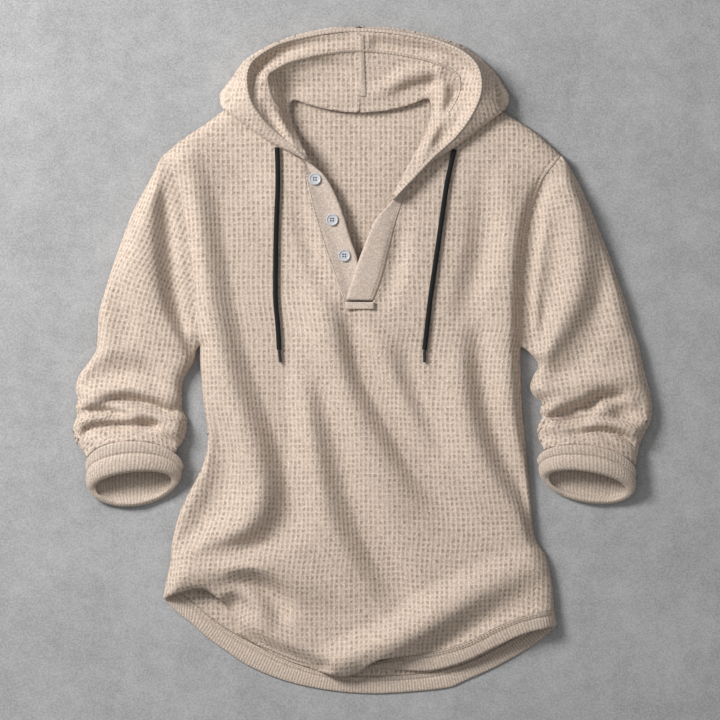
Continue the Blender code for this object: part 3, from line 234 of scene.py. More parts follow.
# Folds: rows of x, y, rise (plus for a ridge, minus for a hollow) and half width.
# SOFT folds are rounded, SHARP ones pinch to a line.
SOFT, SHARP = 1, 2
FRONT_FOLDS = (
    ("left long ridge", SOFT, (
        (-241, 280, 4, 17), (-228, 224, 8, 18), (-220, 168, 10, 20), (-209, 91, 11, 21), (-192, 7, 12, 22),
        (-168, -77, 13, 24), (-147, -140, 16, 25), (-140, -186, 16, 25), (-158, -227, 14, 24), (-193, -251, 11, 21),
        (-235, -272, 8, 18), (-258, -290, 4, 17),
    )),
    ("chest hollow left", SOFT, (
        (-202, 294, -4, 34), (-174, 238, -12, 50), (-153, 168, -15, 59), (-137, 77, -15, 59), (-125, -7, -15, 45),
        (-109, -84, -14, 29), (-97, -151, -11, 28), (-95, -213, -10, 28), (-123, -249, -8, 24), (-168, -266, -7, 18),
        (-217, -280, -3, 17),
    )),
    ("side hollow left", SOFT, (
        (-207, -56, 0, 14), (-196, -109, -8, 18), (-192, -154, -11, 21), (-206, -196, -11, 21), (-230, -232, -8, 18),
        (-249, -263, -3, 14),
    )),
    ("waist ridge", SOFT, (
        (-98, -7, 0, 20), (-83, -63, 6, 22), (-73, -119, 9, 25), (-62, -178, 10, 27), (-43, -227, 11, 27),
        (-20, -269, 10, 25), (3, -308, 4, 24),
    )),
    ("waist hollow", SOFT, (
        (-73, 21, 0, 17), (-55, -42, -6, 20), (-36, -105, -8, 21), (-21, -168, -9, 22), (-3, -224, -11, 25),
        (25, -273, -13, 25), (53, -322, -10, 25), (73, -357, -3, 20),
    )),
    ("belly ridge", SOFT, (
        (-62, 119, 1, 20), (-52, 77, 5, 21), (-41, 21, 8, 24), (-22, -35, 9, 25), (0, -91, 10, 27),
        (25, -143, 10, 27), (52, -185, 7, 27), (84, -217, 2, 25),
    )),
    ("placket drop hollow", SOFT, (
        (-20, 64, -4, 15), (-8, 28, -11, 18), (8, -20, -14, 21), (31, -62, -14, 22), (55, -104, -14, 22),
        (78, -146, -13, 22), (108, -188, -10, 24), (151, -221, -4, 22), (203, -245, 0, 20),
    )),
    ("small ridge", SOFT, ((31, 49, 0, 17), (42, -3, 4, 18), (56, -52, 5, 20), (76, -101, 4, 20), (98, -143, 0, 17))),
    ("small hollow", SOFT, (
        (53, 42, 0, 13), (66, -7, -4, 15), (81, -53, -6, 17), (99, -101, -5, 17), (120, -143, 0, 15),
    )),
    ("hip ridge right", SOFT, (
        (129, 49, 0, 21), (136, -7, 6, 24), (143, -63, 9, 25), (153, -109, 11, 27), (169, -150, 12, 25),
        (192, -188, 10, 24), (216, -225, 8, 21), (241, -260, 4, 17),
    )),
    ("hip hollow right", SOFT, (
        (160, 70, -1, 15), (167, 14, -8, 18), (174, -42, -11, 20), (186, -91, -12, 20), (202, -129, -12, 20),
        (218, -165, -11, 18), (235, -199, -9, 15), (249, -231, -6, 14),
    )),
    ("side ridge right", SOFT, (
        (206, 238, 5, 28), (207, 154, 8, 31), (209, 56, 8, 31), (211, -35, 8, 28), (221, -112, 6, 22),
        (235, -171, 2, 14),
    )),
    ("chest dip right", SOFT, ((176, 238, -3, 20), (174, 168, -9, 21), (160, 112, -9, 20), (144, 67, -4, 17))),
    ("hem sweep ridge", SOFT, (
        (-67, -437, 2, 17), (-39, -424, 10, 21), (3, -409, 15, 24), (49, -391, 18, 25), (95, -364, 18, 27),
        (143, -335, 15, 27), (185, -312, 11, 25), (224, -295, 7, 22), (256, -283, 2, 17),
    )),
    ("hem sweep hollow", SOFT, (
        (17, -442, -1, 10), (45, -428, -6, 13), (81, -413, -10, 15), (120, -392, -8, 17), (162, -368, -5, 20),
        (204, -346, -3, 21), (245, -325, -1, 20),
    )),
    ("hem edge rise", SOFT, ((154, -403, 0, 13), (203, -378, 5, 14), (245, -361, 5, 14), (269, -353, 2, 11))),
    ("lip ridge", SOFT, (
        (-272, -322, 6, 14), (-249, -307, 11, 17), (-217, -294, 14, 18), (-179, -287, 16, 20), (-143, -288, 16, 20),
        (-112, -300, 12, 21), (-77, -316, 8, 22), (-35, -333, 2, 20),
    )),
    ("lip hollow", SOFT, (
        (-188, -312, -2, 10), (-167, -309, -8, 14), (-143, -314, -11, 17), (-123, -328, -12, 18),
        (-112, -347, -9, 18), (-111, -370, -3, 17),
    )),
    ("lip crease", SOFT, (
        (-227, -316, 3, 11), (-193, -314, 5, 13), (-164, -321, 6, 14), (-144, -336, 5, 14), (-132, -358, 3, 14),
        (-126, -381, 0, 13),
    )),
    ("second lip hollow", SOFT, (
        (-183, -322, 0, 10), (-171, -333, -6, 13), (-161, -347, -7, 13), (-155, -367, -2, 13),
    )),
    ("stand hollow", SOFT, ((-90, 238, -1, 13), (-78, 182, -7, 15), (-56, 119, -6, 15), (-36, 78, -2, 13))),
    ("strip hollow", SOFT, ((59, 207, -1, 13), (53, 154, -7, 15), (39, 98, -5, 15), (17, 62, 0, 13))),
    ("cord rise left", SOFT, ((-137, 266, 0, 22), (-137, 168, 3, 25), (-129, 56, 3, 25), (-118, -17, 0, 20))),
    ("box rise", SOFT, ((3, 53, 1, 17), (17, 21, 5, 18), (34, -17, 2, 17))),
    ("armhole fall right", SOFT, (
        (270, 269, 0, 8), (253, 232, -9, 13), (242, 189, -15, 15), (235, 137, -18, 15), (232, 84, -18, 15),
        (231, 28, -16, 15), (231, -7, -9, 13),
    )),
    ("armhole fall left", SOFT, (
        (-266, 263, 0, 8), (-249, 224, -3, 10), (-238, 154, -5, 11), (-230, 70, -5, 11), (-225, 21, -3, 10),
    )),
)
SLEEVE_LEFT_FOLDS = (
    ("upper ridge", SOFT, (
        (-280, 266, 0, 14), (-293, 232, 7, 22), (-300, 189, 11, 28), (-302, 137, 12, 29), (-295, 88, 12, 27),
        (-280, 56, 10, 22), (-258, 31, 8, 17), (-239, 13, 4, 13),
    )),
    ("underarm hollow", SOFT, (
        (-272, 258, -3, 8), (-272, 217, -10, 13), (-270, 175, -12, 15), (-267, 133, -13, 15), (-262, 95, -14, 14),
        (-255, 67, -14, 13), (-244, 39, -13, 11), (-232, 18, -10, 10),
    )),
    ("gusset", SOFT, ((-263, 224, -2, 14), (-253, 175, -5, 17), (-245, 119, -6, 17), (-235, 56, -8, 14))),
    ("outer dip", SOFT, ((-339, 123, 0, 14), (-342, 84, -5, 18), (-329, 53, -5, 20), (-308, 31, 0, 17))),
    ("elbow hollow", SOFT, (
        (-395, -35, -4, 11), (-375, -25, -8, 17), (-353, -18, -10, 20), (-326, -17, -10, 20), (-302, -21, -9, 20),
        (-284, -32, -7, 15), (-265, -48, -1, 11),
    )),
    ("elbow ridge", SOFT, (
        (-389, -53, 1, 10), (-353, -43, 6, 13), (-315, -38, 7, 13), (-287, -49, 6, 13), (-263, -62, 3, 11),
    )),
    ("first crease", SHARP, (
        (-368, -60, 0, 8), (-350, -57, -12, 13), (-329, -55, -16, 14), (-309, -58, -17, 14), (-287, -64, -17, 13),
        (-270, -71, -15, 11), (-251, -72, -11, 10),
    )),
    ("first roll", SOFT, (
        (-386, -62, 4, 10), (-347, -64, 5, 10), (-308, -71, 6, 11), (-280, -80, 6, 11), (-255, -85, 4, 13),
    )),
    ("second crease", SHARP, (
        (-396, -76, -9, 10), (-375, -70, -13, 11), (-354, -71, -15, 11), (-336, -74, -13, 11), (-316, -77, 0, 8),
    )),
    ("third crease", SHARP, (
        (-395, -109, -4, 11), (-386, -102, -11, 13), (-375, -94, -12, 11), (-354, -91, -13, 11),
        (-329, -91, -14, 11), (-308, -91, -15, 11), (-288, -92, -16, 13), (-276, -90, 0, 10),
    )),
    ("third roll", SOFT, ((-389, -84, 3, 10), (-350, -83, 5, 10), (-315, -83, 4, 10))),
    ("last roll", SOFT, ((-315, -98, 2, 8), (-280, -101, 5, 10), (-255, -101, 5, 11))),
    ("fourth crease", SHARP, (
        (-367, -116, 0, 8), (-353, -108, -11, 11), (-337, -102, -13, 11), (-318, -104, -10, 10),
        (-302, -102, -11, 10), (-287, -108, -13, 11), (-273, -112, -14, 11), (-263, -118, -13, 10),
        (-255, -125, -10, 8),
    )),
)
SLEEVE_RIGHT_FOLDS = (
    ("upper ridge", SOFT, (
        (284, 266, 0, 14), (294, 231, 7, 20), (304, 189, 11, 24), (309, 143, 12, 25), (304, 101, 12, 24),
        (290, 66, 11, 20), (273, 34, 9, 15), (256, 3, 5, 11),
    )),
    ("armhole hollow", SOFT, (
        (253, 230, -4, 10), (244, 189, -10, 11), (235, 137, -14, 11), (232, 91, -15, 11), (234, 42, -14, 11),
        (241, 14, -10, 8),
    )),
    ("under layer", SOFT, ((269, 175, -4, 20), (265, 123, -7, 21), (256, 77, -9, 18), (248, 28, -10, 14))),
    ("under layer pleat", SOFT, ((245, 105, 0, 7), (245, 70, 5, 7), (245, 21, 4, 7))),
    ("outer flank", SOFT, (
        (325, 189, -2, 14), (333, 133, -5, 18), (333, 84, -6, 20), (322, 35, -6, 21), (297, -3, -7, 21),
        (274, -22, -6, 17), (255, -31, -2, 11),
    )),
    ("elbow ridge", SOFT, (
        (249, -39, 5, 13), (283, -39, 7, 15), (325, -32, 7, 15), (364, -25, 5, 15), (392, -25, 2, 14),
    )),
    ("first crease", SHARP, (
        (253, -83, -10, 10), (274, -78, -14, 11), (293, -71, -16, 13), (311, -65, -17, 14), (326, -57, -18, 14),
        (340, -52, -15, 13), (361, -50, -12, 13), (378, -52, 0, 11),
    )),
    ("crease pocket", SOFT, ((308, -73, 0, 7), (322, -67, -7, 10), (337, -62, 0, 7))),
    ("first roll", SOFT, ((259, -67, 5, 10), (287, -60, 6, 11), (315, -52, 5, 10))),
    ("cave", SOFT, ((353, -59, -3, 11), (367, -70, -11, 15), (384, -73, -9, 15), (392, -62, -3, 13))),
    ("second crease", SHARP, (
        (272, -88, 0, 8), (284, -85, -13, 11), (297, -83, -16, 13), (312, -83, -14, 11), (329, -81, -5, 10),
        (356, -81, -9, 11), (384, -81, 0, 11),
    )),
    ("second roll", SOFT, (
        (263, -95, 4, 10), (301, -94, 5, 10), (336, -88, 6, 10), (367, -92, 5, 11), (386, -106, 3, 10),
    )),
    ("third crease", SHARP, (
        (283, -106, 0, 8), (297, -103, -12, 10), (308, -104, -14, 11), (322, -100, -12, 10), (339, -99, -12, 10),
        (356, -101, -13, 11), (371, -108, -14, 11), (385, -119, -10, 11),
    )),
    ("side pocket", SOFT, ((249, -112, -5, 10), (259, -112, -8, 11), (269, -116, 0, 8))),
    ("fourth crease", SHARP, (
        (333, -106, 0, 7), (344, -112, -9, 10), (356, -120, -11, 10), (370, -132, -11, 10), (382, -143, -8, 8),
    )),
)
# Hood folds are counted from the slope that runs from the rim down to the neck seam.
HOOD_FOLDS = (
    ("pillow left", SOFT, (
        (-132, 392, 4, 8), (-127, 400, 7, 8), (-106, 412, 8, 10), (-81, 421, 6, 11), (-49, 427, 3, 13),
        (-14, 430, 1, 13),
    )),
    ("hollow left", SOFT, (
        (-112, 392, -5, 10), (-101, 384, -8, 13), (-83, 381, -4, 14), (-53, 386, -1, 14), (-25, 389, 0, 13),
    )),
    ("channel left", SOFT, (
        (-148, 350, -5, 8), (-151, 375, -9, 10), (-150, 398, -12, 10), (-136, 416, -12, 10), (-111, 430, -9, 10),
        (-70, 441, -5, 10), (-21, 448, -2, 10),
    )),
    ("flap left", SOFT, (
        (-129, 395, 6, 7), (-120, 371, 9, 8), (-112, 347, 9, 8), (-102, 322, 7, 8), (-88, 297, 3, 7),
    )),
    ("gully left", SOFT, ((-140, 370, -3, 7), (-132, 347, -8, 8), (-118, 325, -8, 8), (-101, 304, -4, 7))),
    ("crease left", SOFT, ((-59, 417, -3, 8), (-36, 412, -5, 10), (-20, 400, -3, 10), (-11, 381, 0, 8))),
    ("pillow right", SOFT, (
        (106, 403, 3, 8), (90, 403, 8, 10), (67, 399, 9, 11), (48, 389, 6, 11), (28, 378, 2, 11),
    )),
    ("hollow right", SOFT, ((102, 389, -5, 7), (87, 382, -8, 8), (64, 375, -5, 10), (42, 367, 0, 11))),
    ("channel right", SOFT, (
        (165, 367, -4, 7), (160, 392, -6, 8), (144, 412, -7, 8), (119, 426, -7, 8), (77, 435, -7, 10),
        (25, 441, -6, 10),
    )),
    ("flap right", SOFT, (
        (108, 412, 1, 7), (112, 395, 6, 8), (115, 371, 9, 8), (109, 344, 8, 8), (99, 316, 7, 8), (85, 286, 4, 8),
    )),
    ("dip right", SOFT, (
        (129, 412, -4, 10), (143, 395, -10, 14), (144, 367, -13, 17), (133, 336, -11, 14), (113, 305, -6, 11),
    )),
    ("middle seam", SHARP, ((0, 456, 1, 8), (1, 420, 1.5, 8), (1, 384, 1.5, 8), (0, 353, 0.5, 8))),
)

# Placket edges, from the neck down
STAND_INNER = ((-70, 276), (-48, 255), (-29, 218), (-13, 168), (-3, 137), (1, 84))
STAND_OUTER = ((-78, 272), (-71, 238), (-53, 174), (-36, 125), (-24, 90), (-18, 80))
STRIP_INNER = ((45, 223), (22, 197), (6, 160), (-8, 122), (-20, 84))
STRIP_OUTER = ((63, 232), (49, 190), (35, 133), (27, 106), (18, 83))
BOX_SIDES = (((-21, 81), (-21, 71)), ((20, 81), (20, 71)))
SLIT_END = (((18, 83), (18, 77)), ((18, 77), (-18, 76)), ((-18, 76), (-18, 80)))
NECK_TO_STRIP = ((57, 238), (63, 232))
STAND_TO_NECK = ((-78, 272), (-80, 279))
BUTTONS = ((-63, 253), (-39, 196), (-22, 146))

# Drawcord routes, from where they leave the hood hem to the tip
CORD_LEFT = ((-116, 297), (-115, 273), (-115, 238), (-117, 189), (-118, 137), (-118, 84), (-115, 49), (-113, 14))
CORD_RIGHT = ((132, 294), (126, 269), (120, 238), (113, 189), (105, 133), (98, 84), (94, 49), (90, 14))
CORD_LEFT_TIP = (-111, -4)
CORD_RIGHT_TIP = (90, -4)

# Cuffs: left and right end of the flattened tube, and how far the upper and the lower layer run past the
# line between those ends; height; and the part of the back edge that the sleeve meets, in degrees
CUFFS = {
    "cuff_left": {
        "back": ((-384, -143), (-246, -148), 33, 31),
        "mouth": ((-381, -182), (-253, -169), 19, -29),
        "rise": 36.0,
        "sleeve": (165, 35),
    },
    "cuff_right": {
        "back": ((247, -137), (386, -154), 27, 25),
        "mouth": ((253, -165), (384, -186), 19, -24),
        "rise": 36.0,
        "sleeve": (150, 15),
    },
}

# Middle lines of the sleeves, from the armhole to the cuff; the waffle's columns run along them
SPINE_LEFT = ((-255, 175), (-283, 112), (-297, 70), (-308, 14), (-322, -56), (-321, -126), (-314, -175))
SPINE_RIGHT = ((270, 175), (284, 84), (297, 14), (308, -56), (314, -112), (316, -175))

# A rib band across, from the body seam outwards: share of the width, rise, and how far the ribs stand out
BAND_PROFILE = (
    (0.0, -0.5, 0), (0.05, 0.3, 0), (0.15, 0.45, 0), (0.25, 0.3, 0), (0.29, -0.5, 0.2), (0.35, 0.1, 1),
    (0.60, 0.4, 1), (0.80, 0.3, 1), (0.94, 0.0, 0.8), (1.0, -0.9, 0.2),
)

# Half sections, from the middle of the back to the middle of the front: radius and height
BUTTON_PROFILE = (
    (0, 0), (4, 0), (7.4, 0.1), (8.3, 0.9), (8.5, 1.9), (8.1, 2.8), (7.3, 3.0), (6.5, 2.6), (5.9, 2.0), (4.5, 1.9),
    (2.5, 1.9), (0, 1.9),
)
# Share of the tip's length, and share of its radius
AGLET_PROFILE = (
    (0, 0), (0, 0.9), (0.03, 1), (0.12, 1), (0.15, 0.92), (0.85, 0.92), (0.9, 1), (0.97, 0.95), (1, 0.75), (1, 0),
)

# The part of the front's lower edge that runs on into the hem seam
SEAM_RUN = ((-183, -349), (-171, -384), (-137, -405), (-98, -421), (-59, -435))

# Heads of the placket's edges under the hood, and how its parts sink across their width
STAND_HEAD = ((-83, 280), (-74, 283))
STRIP_HEAD = ((69, 249), (55, 244))
STAND_SINKS = ((-0.06, 0.3), (0, 0.3), (0.35, 3.2), (0.6, 3.0), (1, 1.0))
STRIP_SINKS = ((-0.05, 0.3), (0.25, 0.3), (0.85, -2.0), (1, -1.6))

# Buttons: the thread holes, and the dark disc under them that shows in them as painted shadow
EYE_RADIUS = 1.2
EYE_SPREAD = 2.3
HOLE_SHADOW_LIFT = 0.5
HOLE_SHADOW_RADIUS = 4.6
HOLE_SHADOW_THICK = 0.8
BUTTON_SIDES = 40

# Cords: how much wider than high, spacing of the braid's points, how far the braid's ridges stand out, how far its
# closed ends reach in steps, and the spacing of a route along the cord that is worked out but not used
CORD_FLAT = 1.25
CORD_CAP = 0.2
ROUTE_STEP = 10
BRAID_STEP = 1.3
BRAID_RISE = 0.24
BRAID_SIDES = 16
AGLET_SIDES = 24

# How pieces overlap at their seams, and where a sleeve dips under the body
SEAM_OVERLAP = 1.2
FRONT_OVERLAP = 0.9
SEAM_TUCK = 0.6
TUCK_FADE = 4.0

# Waffle cells: clear of the edge, how fast the pits come in, and how the lattice follows slopes and spines
PIT_CLEAR = 2.5
PIT_FADE = 7.0
LATTICE_MARGIN = 1.12
MOST_SLOPE = 1.7
SPINE_STEPS = 160
SPINE_MARGIN = 8
SPINE_BEFORE = 190.0
SPINE_AFTER = 60.0

# Waffle colour: where a cell's middle falls after the wobble, and how much painted shade darkens its pit and the
# ridge beside it
CELL_WOBBLE = (0.42, 0.6, 0)
CELL_MIDDLE = (0.68, 0.75)
PIT_PAINTED_SHADE = 0.72
BRIDGE_PAINTED_SHADE = 0.16

# Creases pinch to this share of their width; cuts up a pouch's sides; and how a strip's edges round and lap
CREASE_PINCH = 0.82
SIDE_CUTS = 3
STRIP_EDGE = 0.25
STAND_SPILL = 0.06
STRIP_SPILL = 0.05

# The front's lower edge: rolled at the lip, and flat where it meets the hem seam
LIP_ROLL = 4.0
LIP_ROUND = 9.0
SEAM_FLAT = 3.6
SEAM_FADE = 26.0

# Ribs: the wave over one rib, how the bands' ribs are kept square to the edge, and the way round a cuff
RIB_WAVE = (0, 0.7, 1, 0.7)
BAND_WINDOW = 41
BAND_ENDS = 8.0
CUFF_ROUND = 2.3

# Sewing: gap between stitches, raised seams as (shift to the side, half width, rise, lift), and rows of stitches
STITCH_GAP = 1.3
WELT_WALL = 0.6
WELT_POINTS = 7
ARMHOLE_WELT = (0.8, 2.2, 0.8, 0.0)
ARMHOLE_ROW = 6.5
HEM_ROWS = (0.09, 0.21)
STRIP_ROWS = (0.02, 0.13)
STAND_ROWS = (0.0, 0.06)
BOX_INSET = 2
BOX_INSET_TOP = 1.5
RIM_WELT = (-1.0, 2.8, 0.9, 0.2)
CHANNEL_FROM = 345.0
CHANNEL_WELT = (-CASING_WIDTH - 1.2, 2.2, 0.5, 0.3)
CHANNEL_ROWS = (CASING_WIDTH, CASING_WIDTH + 2.4)
MIDDLE_SEAM = ((0, 452), (1, 420), (2, 390), (3, 368))
MIDDLE_TAPE = (1.5, 4.2, 0.5, 0.3)
MIDDLE_ROWS = (5.0, -2.0)

# The surface, a hair under the cloth, and the two lights: place, size and the setting that holds its power
FLOOR_HALF = 3
FLOOR_DROP = 0.0005
SENSOR = 36
LIGHTS = (("key", (-2.1, 1.45, 1.95), 1.0), ("top", (0.2, 0.1, 3.0), 2.6))

# Flat pattern of each piece in metres: width, length and area
BACK_BAND_CUT = (0.63, 0.027, 0.0165)
FRONT_BAND_CUT = (0.44, 0.026, 0.0105)

# The cuff's wall as rolled: thick and round at its mouth, above and below
CUFF_SECTION = (
    (0.00, 3.2, 0), (0.05, 0.8, 0), (0.12, 0.2, 0.6), (0.32, 0.6, 0.7), (0.40, 2.2, 0.7), (0.46, 0.6, 0.7),
    (0.62, -0.6, 0.7), (0.80, -0.2, 0.7), (0.93, 1.4, 0.5), (1.00, 5.5, 0.4), (0.985, 9.5, 0.3), (0.945, 11.5, 0.2),
    (0.90, 9.0, 0), (0.86, 5.0, 0), (0.80, 3.0, 0.5), (0.40, 2.6, 0.5), (0.06, 4.0, 0),
)


# ---------------------------------------------------------------- heights and plans

def smooth(rows, pieces):
    """A Catmull-Rom curve through the rows, with the given number of pieces between neighbours."""
    rows = np.array(rows, float)
    before = np.vstack((2 * rows[0] - rows[1], rows[:-1]))
    after = np.vstack((rows[1:], 2 * rows[-1] - rows[-2]))
    slopes = (after - before) / 2
    found = [rows[0]]
    for i in range(len(rows) - 1):
        for k in range(1, pieces + 1):
            t = k / pieces
            found.append(
                (2 * t**3 - 3 * t**2 + 1) * rows[i]
                + (t**3 - 2 * t**2 + t) * slopes[i]
                + (3 * t**2 - 2 * t**3) * rows[i + 1]
                + (t**3 - t**2) * slopes[i + 1]
            )
    return np.array(found)


def lengths(path):
    """How far along the path each of its points lies."""
    steps = np.hypot(*np.diff(path[:, :2], axis=0).T)
    return np.concatenate(([0.0], np.cumsum(steps)))


def read_off(path, run, wanted):
    """The rows of the path where its run has the wanted values."""
    return np.column_stack([np.interp(wanted, run, column) for column in path.T])


def closed(ring):
    return np.vstack((ring, ring[:1]))


def unit(rows):
    return rows / np.linalg.norm(rows, axis=1)[:, None]


def left_of(steps):
    """Unit vectors to the left of the steps along a plan path."""
    return unit(np.column_stack((-steps[:, 1], steps[:, 0])))


def spaced(rows, count):
    """The smooth curve through the rows as this many even steps."""
    path = smooth(rows, FINE_CURVE)
    along = lengths(path)
    return read_off(path, along, np.linspace(0, along[-1], count + 1))


def steps_in(rows, step):
    """How many steps of about this length fit on the curve through the rows."""
    return max(1, round(lengths(smooth(rows, FINE_CURVE))[-1] / step))


def nearest(points, path):
    """Distance from each point to the path, and the place on it, counted in path points."""
    best = np.full(len(points), np.inf)
    along = np.zeros(len(points))
    for i in range(len(path) - 1):
        start = path[i]
        run = path[i + 1] - start
        t = np.clip((points - start) @ run / max(run @ run, 1e-12), 0, 1)
        gap = np.hypot(*(points - start - t[:, None] * run).T)
        closer = gap < best
        best = np.where(closer, gap, best)
        along = np.where(closer, i + t, along)
    return best, along


def gap_to_paths(points, paths):
    """Distance from each point to the nearest of several paths."""
    return np.min([nearest(points, path)[0] for path in paths], axis=0)


def gap_to(points, *runs):
    """Distance from each point to the nearest of several runs."""
    return gap_to_paths(points, [smooth(run, CURVE) for run in runs])


def inside(points, ring):
    """True for each point within the closed ring."""
    found = np.zeros(len(points), bool)
    x, y = points.T
    for (x0, y0), (x1, y1) in zip(ring, np.roll(ring, -1, axis=0)):
        if y0 == y1:
            continue
        crosses = (y0 > y) != (y1 > y)
        found ^= crosses & (x < x0 + (y - y0) * (x1 - x0) / (y1 - y0))
    return found


def eased(value):
    """0 to 1 with soft ends."""
    value = np.clip(value, 0, 1)
    return value * value * (3 - 2 * value)


def rounded(value):
    """0 to 1 like the side of a round edge."""
    value = np.clip(value, 0, 1)
    return np.sqrt(value * (2 - value))


def relief(points, folds):
    """How far the folds lift or sink each point."""
    total = np.zeros(len(points))
    for _, kind, rows in folds:
        line = smooth(rows, CURVE)
        gap, along = nearest(points, line[:, :2])
        places = np.arange(len(line))
        rise = np.interp(along, places, line[:, 2])
        width = FOLD_SPREAD * np.interp(along, places, line[:, 3]) * (1 if kind == SOFT else CREASE_PINCH)
        near = np.clip(1 - gap / width, 0, 1)
        total += rise * (near * near * (3 - 2 * near) if kind == SOFT else near * near)
    return total


def lying(points, edges, edge, top, reach, folds, least):
    """Height of cloth that starts low at its free edges and rises to its folds."""
    gap = gap_to(points, *edges)
    lift = relief(points, folds) * eased(gap / (FOLD_FADE * reach))
    full = edge + (top - edge) * rounded(gap / reach) + lift
    floor = edge + (least - edge) * rounded(LEAST_STEEPER * gap / reach)
    return np.maximum(full, floor)


BODY_EDGES = (SHOULDER_LEFT, SHOULDER_RIGHT, SIDE_LEFT, SIDE_RIGHT, BACK_SHOULDER_LEFT, BACK_SHOULDER_RIGHT)


def body_top(points):
    """Outer height of the front panel: rolled down at the lip, and flat where it runs into the hem seam."""
    height = lying(points, BODY_EDGES, EDGE_TOP, BODY_TOP, BODY_ROUND, FRONT_FOLDS, LEAST_BODY)
    lip = gap_to(points, FRONT_LIP[:4])
    height = height - LIP_ROLL * (1 - rounded(lip / LIP_ROUND))
    nose = NOSE_DROP * (1 - rounded(gap_to(points, FRONT_FOLD_EDGE) / BODY_ROUND))
    height = np.maximum(height - nose, EDGE_TOP)
    seam = gap_to(points, SEAM_RUN)
    return SEAM_FLAT + (height - SEAM_FLAT) * eased(seam / SEAM_FADE)


def sleeve_top(points, outer, inner, folds, armhole, cuff):
    """Outer height of a sleeve's upper side, meeting the body at the armhole and the cuff at the end."""
    height = lying(points, (outer, inner), SLEEVE_EDGE, SLEEVE_TOP, SLEEVE_ROUND, folds, LEAST_SLEEVE)
    to_body = eased(nearest(points, np.array(armhole))[0] / ARMHOLE_BLEND)
    height = height * to_body + np.maximum(body_top(points), EDGE_TOP) * (1 - to_body)
    end = cuff_end(cuff)
    to_cuff = eased(nearest(points, end)[0] / CUFF_BLEND)
    left, right = CUFFS[cuff]["back"][:2]
    across = np.clip((points[:, 0] - (left[0] + right[0]) / 2) / ((right[0] - left[0]) / 2), -1, 1)
    meeting = cuff_height(np.sqrt(1 - across * across), CUFFS[cuff]["rise"]) - CUFF_TUCK
    return height * to_cuff + meeting * (1 - to_cuff)


def ring_gap(points, ring):
    """Distance to the ring, positive inside it."""
    gap = nearest(points, closed(ring))[0]
    return np.where(inside(points, ring), gap, -gap)


def hood_under(points):
    """Underside of the hood: on the table, and lifted over the shoulders and the neck."""
    over_front = eased((ring_gap(points, ring_of(FRONT_RUNS)) + HOOD_OVER_FRONT) / HOOD_FRONT_EASE)
    body_ring = ring_of(BACK_RUNS)
    over_back = eased((ring_gap(points, body_ring) + HOOD_OVER_BACK) / HOOD_BACK_EASE)
    gap = gap_to(points, *BODY_EDGES)
    gap = np.where(inside(points, body_ring), gap, -gap)
    front = EDGE_TOP + (BODY_TOP - EDGE_TOP) * rounded((gap + HOOD_BODY_REACH) / BODY_ROUND) + HOOD_CLEAR
    back = WALL + SEAM_GAP + HOOD_BACK_CLEAR
    return np.maximum(front * over_front, back * over_back)


def hood_top(points):
    """Upper height of the hood: up to the rim from the outside, then down to the neck seam."""
    under = hood_under(points)
    rim = smooth(RIM_LEFT + RIM_RIGHT[1:], CURVE)
    rim_gap, along = nearest(points, rim[:, :2])
    crest = np.interp(along, np.arange(len(rim)), rim[:, 2])
    outer_gap = gap_to(points, HOOD_LEFT_RIM_SIDE, HOOD_LEFT_FALL, HOOD_RIGHT_FALL, HOOD_RIGHT_RIM_SIDE)
    neck_gap = gap_to(points, HOOD_LEFT_NECK, HOOD_RIGHT_NECK)
    crest = np.maximum(crest, under + HOOD_EDGE + CREST_LEAST)
    outside = under + HOOD_EDGE
    outside = outside + (crest - outside) * (outer_gap / (outer_gap + rim_gap + NO_GAP)) ** OUTSIDE_POWER
    neck = under + NECK_LIFT
    slope = (neck_gap / (neck_gap + rim_gap + NO_GAP)) ** WITHIN_POWER
    within = neck + (crest - neck) * slope
    within += relief(points, HOOD_FOLDS) * eased(neck_gap / HOOD_NECK_FADE) * eased(rim_gap / HOOD_RIM_FADE)
    within += CASING_STEP * (1 - eased((rim_gap - CASING_WIDTH) / CASING_EASE)) * eased(rim_gap / CASING_START)
    top = np.where(inside(points, rim[:, :2]), within, outside)
    return np.maximum(top, under + 2 * WALL + HOOD_AIR)


def run_points(run):
    """A run as even steps; a run that is an array already is left as it is."""
    if isinstance(run, np.ndarray):
        return run
    return spaced(run, steps_in(run, SEAM_STEP))


def ring_of(runs):
    """The runs of an outline as one closed ring of points."""
    return np.vstack([run_points(run)[:-1] for run in runs])


def area_of(ring):
    """Area inside the ring, negative where it runs clockwise."""
    following = np.roll(ring, -1, axis=0)
    return 0.5 * np.sum(ring[:, 0] * following[:, 1] - following[:, 0] * ring[:, 1])


def laid_across(first, second, shares):
    """Plan points from the first edge, a seam gap in, to the second, at the given shares of the way."""
    first = first + unit(second - first) * SEAM_GAP
    return np.stack([first + share * (second - first) for share in shares], axis=1)


def strip_grid(first, second, count, shares):
    """Plan points across a strip: count steps along both edges, and the given shares across."""
    return laid_across(spaced(first, count), spaced(second, count), shares)


def on_plan(grid, height):
    """The plan grid as 3D points at height(points)."""
    flat = grid.reshape(-1, 2)
    return np.column_stack((flat, height(flat))).reshape(*grid.shape[:2], 3)


FRONT_RUNS = (
    NECK_LEFT, SHOULDER_LEFT, ARMHOLE_LEFT, SIDE_LEFT, FRONT_LIP, FRONT_FOLD_EDGE, FRONT_HEM, SIDE_RIGHT,
    ARMHOLE_RIGHT, SHOULDER_RIGHT, NECK_RIGHT, NECK_TO_STRIP, STRIP_OUTER, *SLIT_END, STAND_OUTER[::-1],
    STAND_TO_NECK,
)
BACK_RUNS = (
    BACK_SHOULDER_LEFT[::-1], SHOULDER_LEFT[1:], ARMHOLE_LEFT, SIDE_LEFT[:-2] + BACK_HEM[:1], BACK_HEM,
    BACK_HEM[-1:] + SIDE_RIGHT[1:], ARMHOLE_RIGHT, SHOULDER_RIGHT[:-1], BACK_SHOULDER_RIGHT[::-1],
    BACK_NECK[::-1],
)


